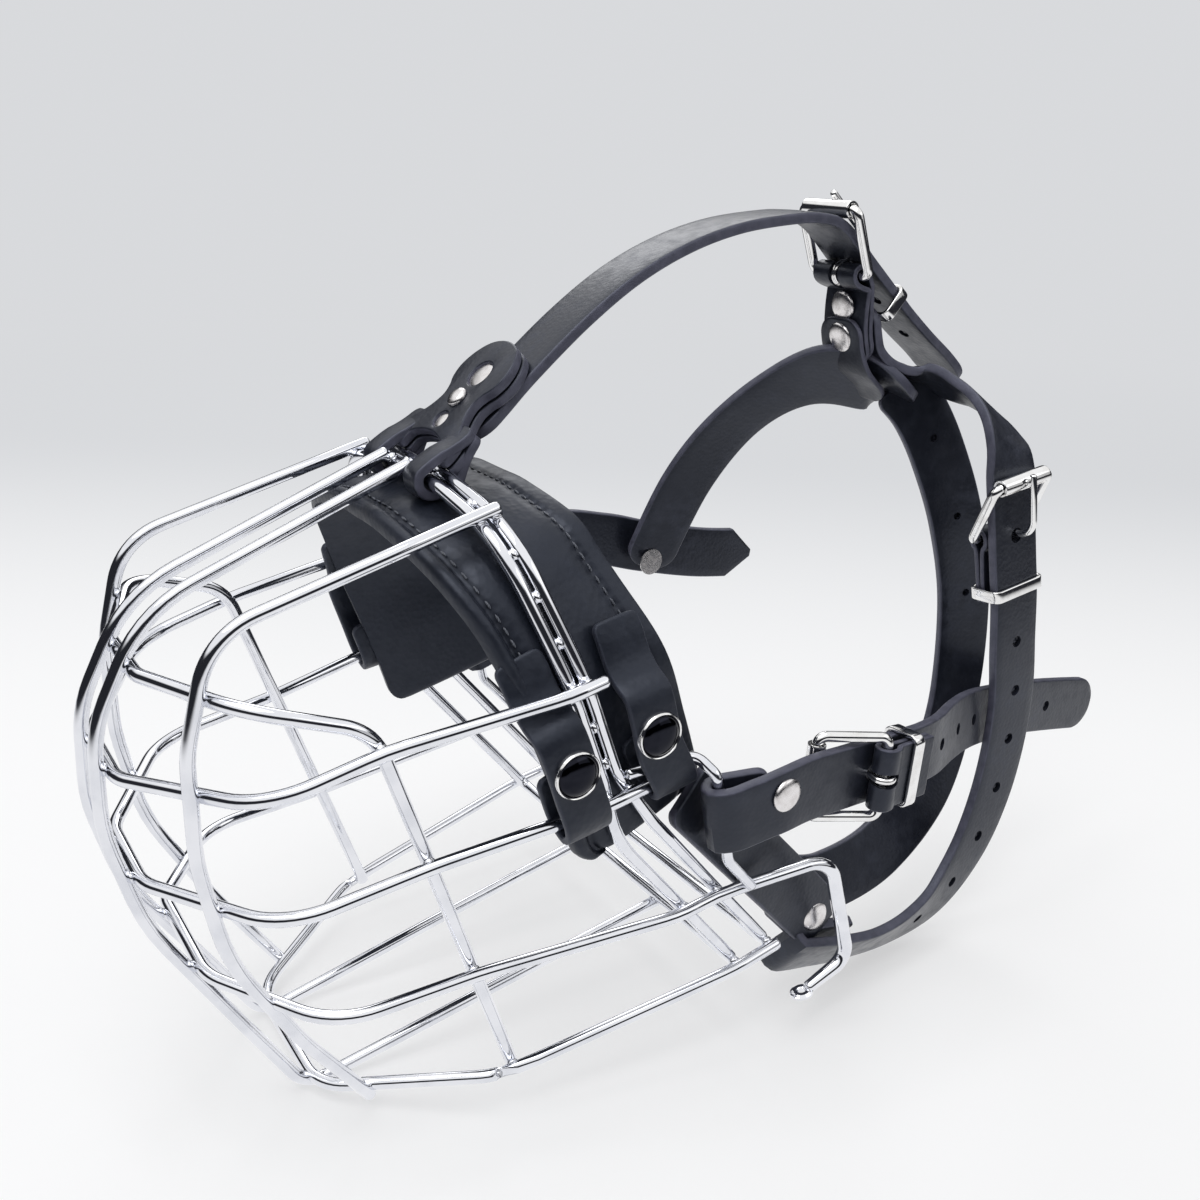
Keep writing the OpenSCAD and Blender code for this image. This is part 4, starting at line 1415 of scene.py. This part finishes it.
def makeBailEyes():
    # the bail's ends, hammered flat and pierced
    h, outer, inner = bailEye["thick"] / 2, bailEye["outer"], bailEye["inner"]
    long, lean = bailEye["long"], bailEye["lean"]
    profile = [(inner, -h + 0.3), (inner + 0.3, -h), (outer - 0.6, -h), (outer, -h + 0.55),
               (outer, h - 0.55), (outer - 0.6, h), (inner + 0.3, h), (inner, h - 0.3)]
    x, low = bailEye["at"]
    for sideName, side in sides.items():
        centre = Vector((x, side * (basket["rimY"] + bailEye["out"]), low))
        rings = [[stood @ (centre + Vector((long * r * c, r * d, z - lean * r * c)))
                  for r, z in profile] for c, d in circle(32)]
        mounted(ringed("bailEye" + sideName, rings, closed=True), "wireChrome")


makeRivets()
makeEyelets()
makeBailEyes()
print("rivets set")

# near and far: the paper's colours, lighter near the object as a painted falloff of light, far
# also the room that the camera sees; dark: the painted reflection band that glossy rays see in the
# floor and the world
studio = dict(reach=12, near=colour(0.935, 0.935, 0.940), far=colour(0.69, 0.70, 0.72),
              away=(0.554, 0.833, 0), fade=(0.05, 0.62), edge=(0.6, 3.2), dim=(0.34, 0.85),
              glow=(0.25, 1.4, 0.55, 1.0), dark=colour(0.020, 0.021, 0.026), ambient=0.46)
room = dict(ceiling=(0.33, 0.48), bright=colour(1, 1, 1), sky=colour(0.98, 0.99, 1.0),
            black=colour(0, 0, 0), heights=(-0.1, 0.9), shares=(0.5, 1.5))


def makeFloor():
    # white paper that fades into the room behind, painted lighter near the object as a painted
    # falloff of light; in the metal's mirror it turns dark away from the object, a painted
    # reflection
    mesh = bpy.data.meshes.new("floor")
    size = studio["reach"]
    mesh.from_pydata([(-size, -size, 0), (size, -size, 0), (size, size, 0), (-size, size, 0)],
                     [], [(0, 1, 2, 3)])
    floor = linked("floor", mesh)
    paper = Finish(bpy.data.materials.new("floorPaper"))
    where = paper.node("TexCoord", out="Object")
    depth = paper.node("VectorMath", dict(operation="DOT_PRODUCT"),
                       {0: where, 1: studio["away"]}, "Value")
    distance = paper.node("VectorMath", dict(operation="LENGTH"), {0: where},
                          "Value")
    # painted falloff of light: the paper's own colour is lighter near the object and greyer behind
    # it and far off
    paintedPool = ((1 - paper.between(depth, *studio["fade"]))
              * (1 - paper.between(distance, *studio["edge"])))
    white = paper.mixed(paintedPool, studio["far"], studio["near"])
    # painted reflection: glossy rays see the paper white near the object and dark further off
    paintedMirrorFloor = paper.mixed(paper.between(distance, *studio["dim"]), studio["near"],
                         studio["dark"])
    seen, glossy, through = (paper.node("LightPath", out="Is " + kind + " Ray")
                             for kind in ("Camera", "Glossy", "Transmission"))
    lit = paper.node("BsdfDiffuse", values={"Color": white})
    glow = paper.node("Emission", values={"Color": white})
    mirror = paper.node("Emission", values={"Color": paintedMirrorFloor})
    share = (seen + through) * paper.between(distance, *studio["glow"])
    plain = paper.node("MixShader", values={0: share, 1: lit, 2: glow})
    mesh.materials.append(paper.surface(
        paper.node("MixShader", values={0: glossy, 1: plain, 2: mirror})))


def makeWorld():
    # a pale room for the camera; for glossy rays, as on the metal, a painted reflection of a
    # bright ceiling above a dark band, which lights nothing
    world = Finish(bpy.data.worlds.new("studio"))
    scene.world = world.owner
    ray = world.node("TexCoord", out="Generated")
    height = world.node("SeparateXYZ", values={0: ray}, out="Z")
    # painted reflection: a dark band under a bright ceiling, seen only by glossy rays
    paintedMirrorRoom = world.mixed(world.between(height, *room["ceiling"]), studio["dark"],
                             room["bright"])
    seen, glossy = (world.node("LightPath", out="Is " + kind + " Ray")
                    for kind in ("Camera", "Glossy"))
    above = world.between(height, *room["heights"],
                          *(share * studio["ambient"] for share in room["shares"]))
    plain = world.mixed(seen, world.mixed(above, room["black"], room["sky"]), studio["far"])
    light = world.mixed(glossy, plain, paintedMirrorRoom)
    world.surface(world.node("Background", values={"Color": light, "Strength": 1.0}),
                  "OutputWorld")


lamps = dict(
    key=dict(at=(-0.45, -0.1, 1.3), size=1.0, watts=9),
    fill=dict(at=(0.9, -1.1, 0.7), size=1.1, watts=2),
    rim=dict(at=(0.6, 1.2, 1.0), size=0.8, watts=4),
)
lampAim = (0, 0, 0.1)


def makeLamps():
    for name, lamp in lamps.items():
        data = bpy.data.lights.new(name, "AREA")
        data.size, data.energy = lamp["size"], lamp["watts"]
        shone = bpy.data.objects.new(name, data)
        shone.location = lamp["at"]
        way = Vector(lampAim) - Vector(lamp["at"])
        shone.rotation_euler = way.to_track_quat("-Z", "Y").to_euler()
        scene.collection.objects.link(shone)


makeFloor()
makeWorld()
makeLamps()
scene.view_settings.view_transform = "Standard"
print("studio lit")
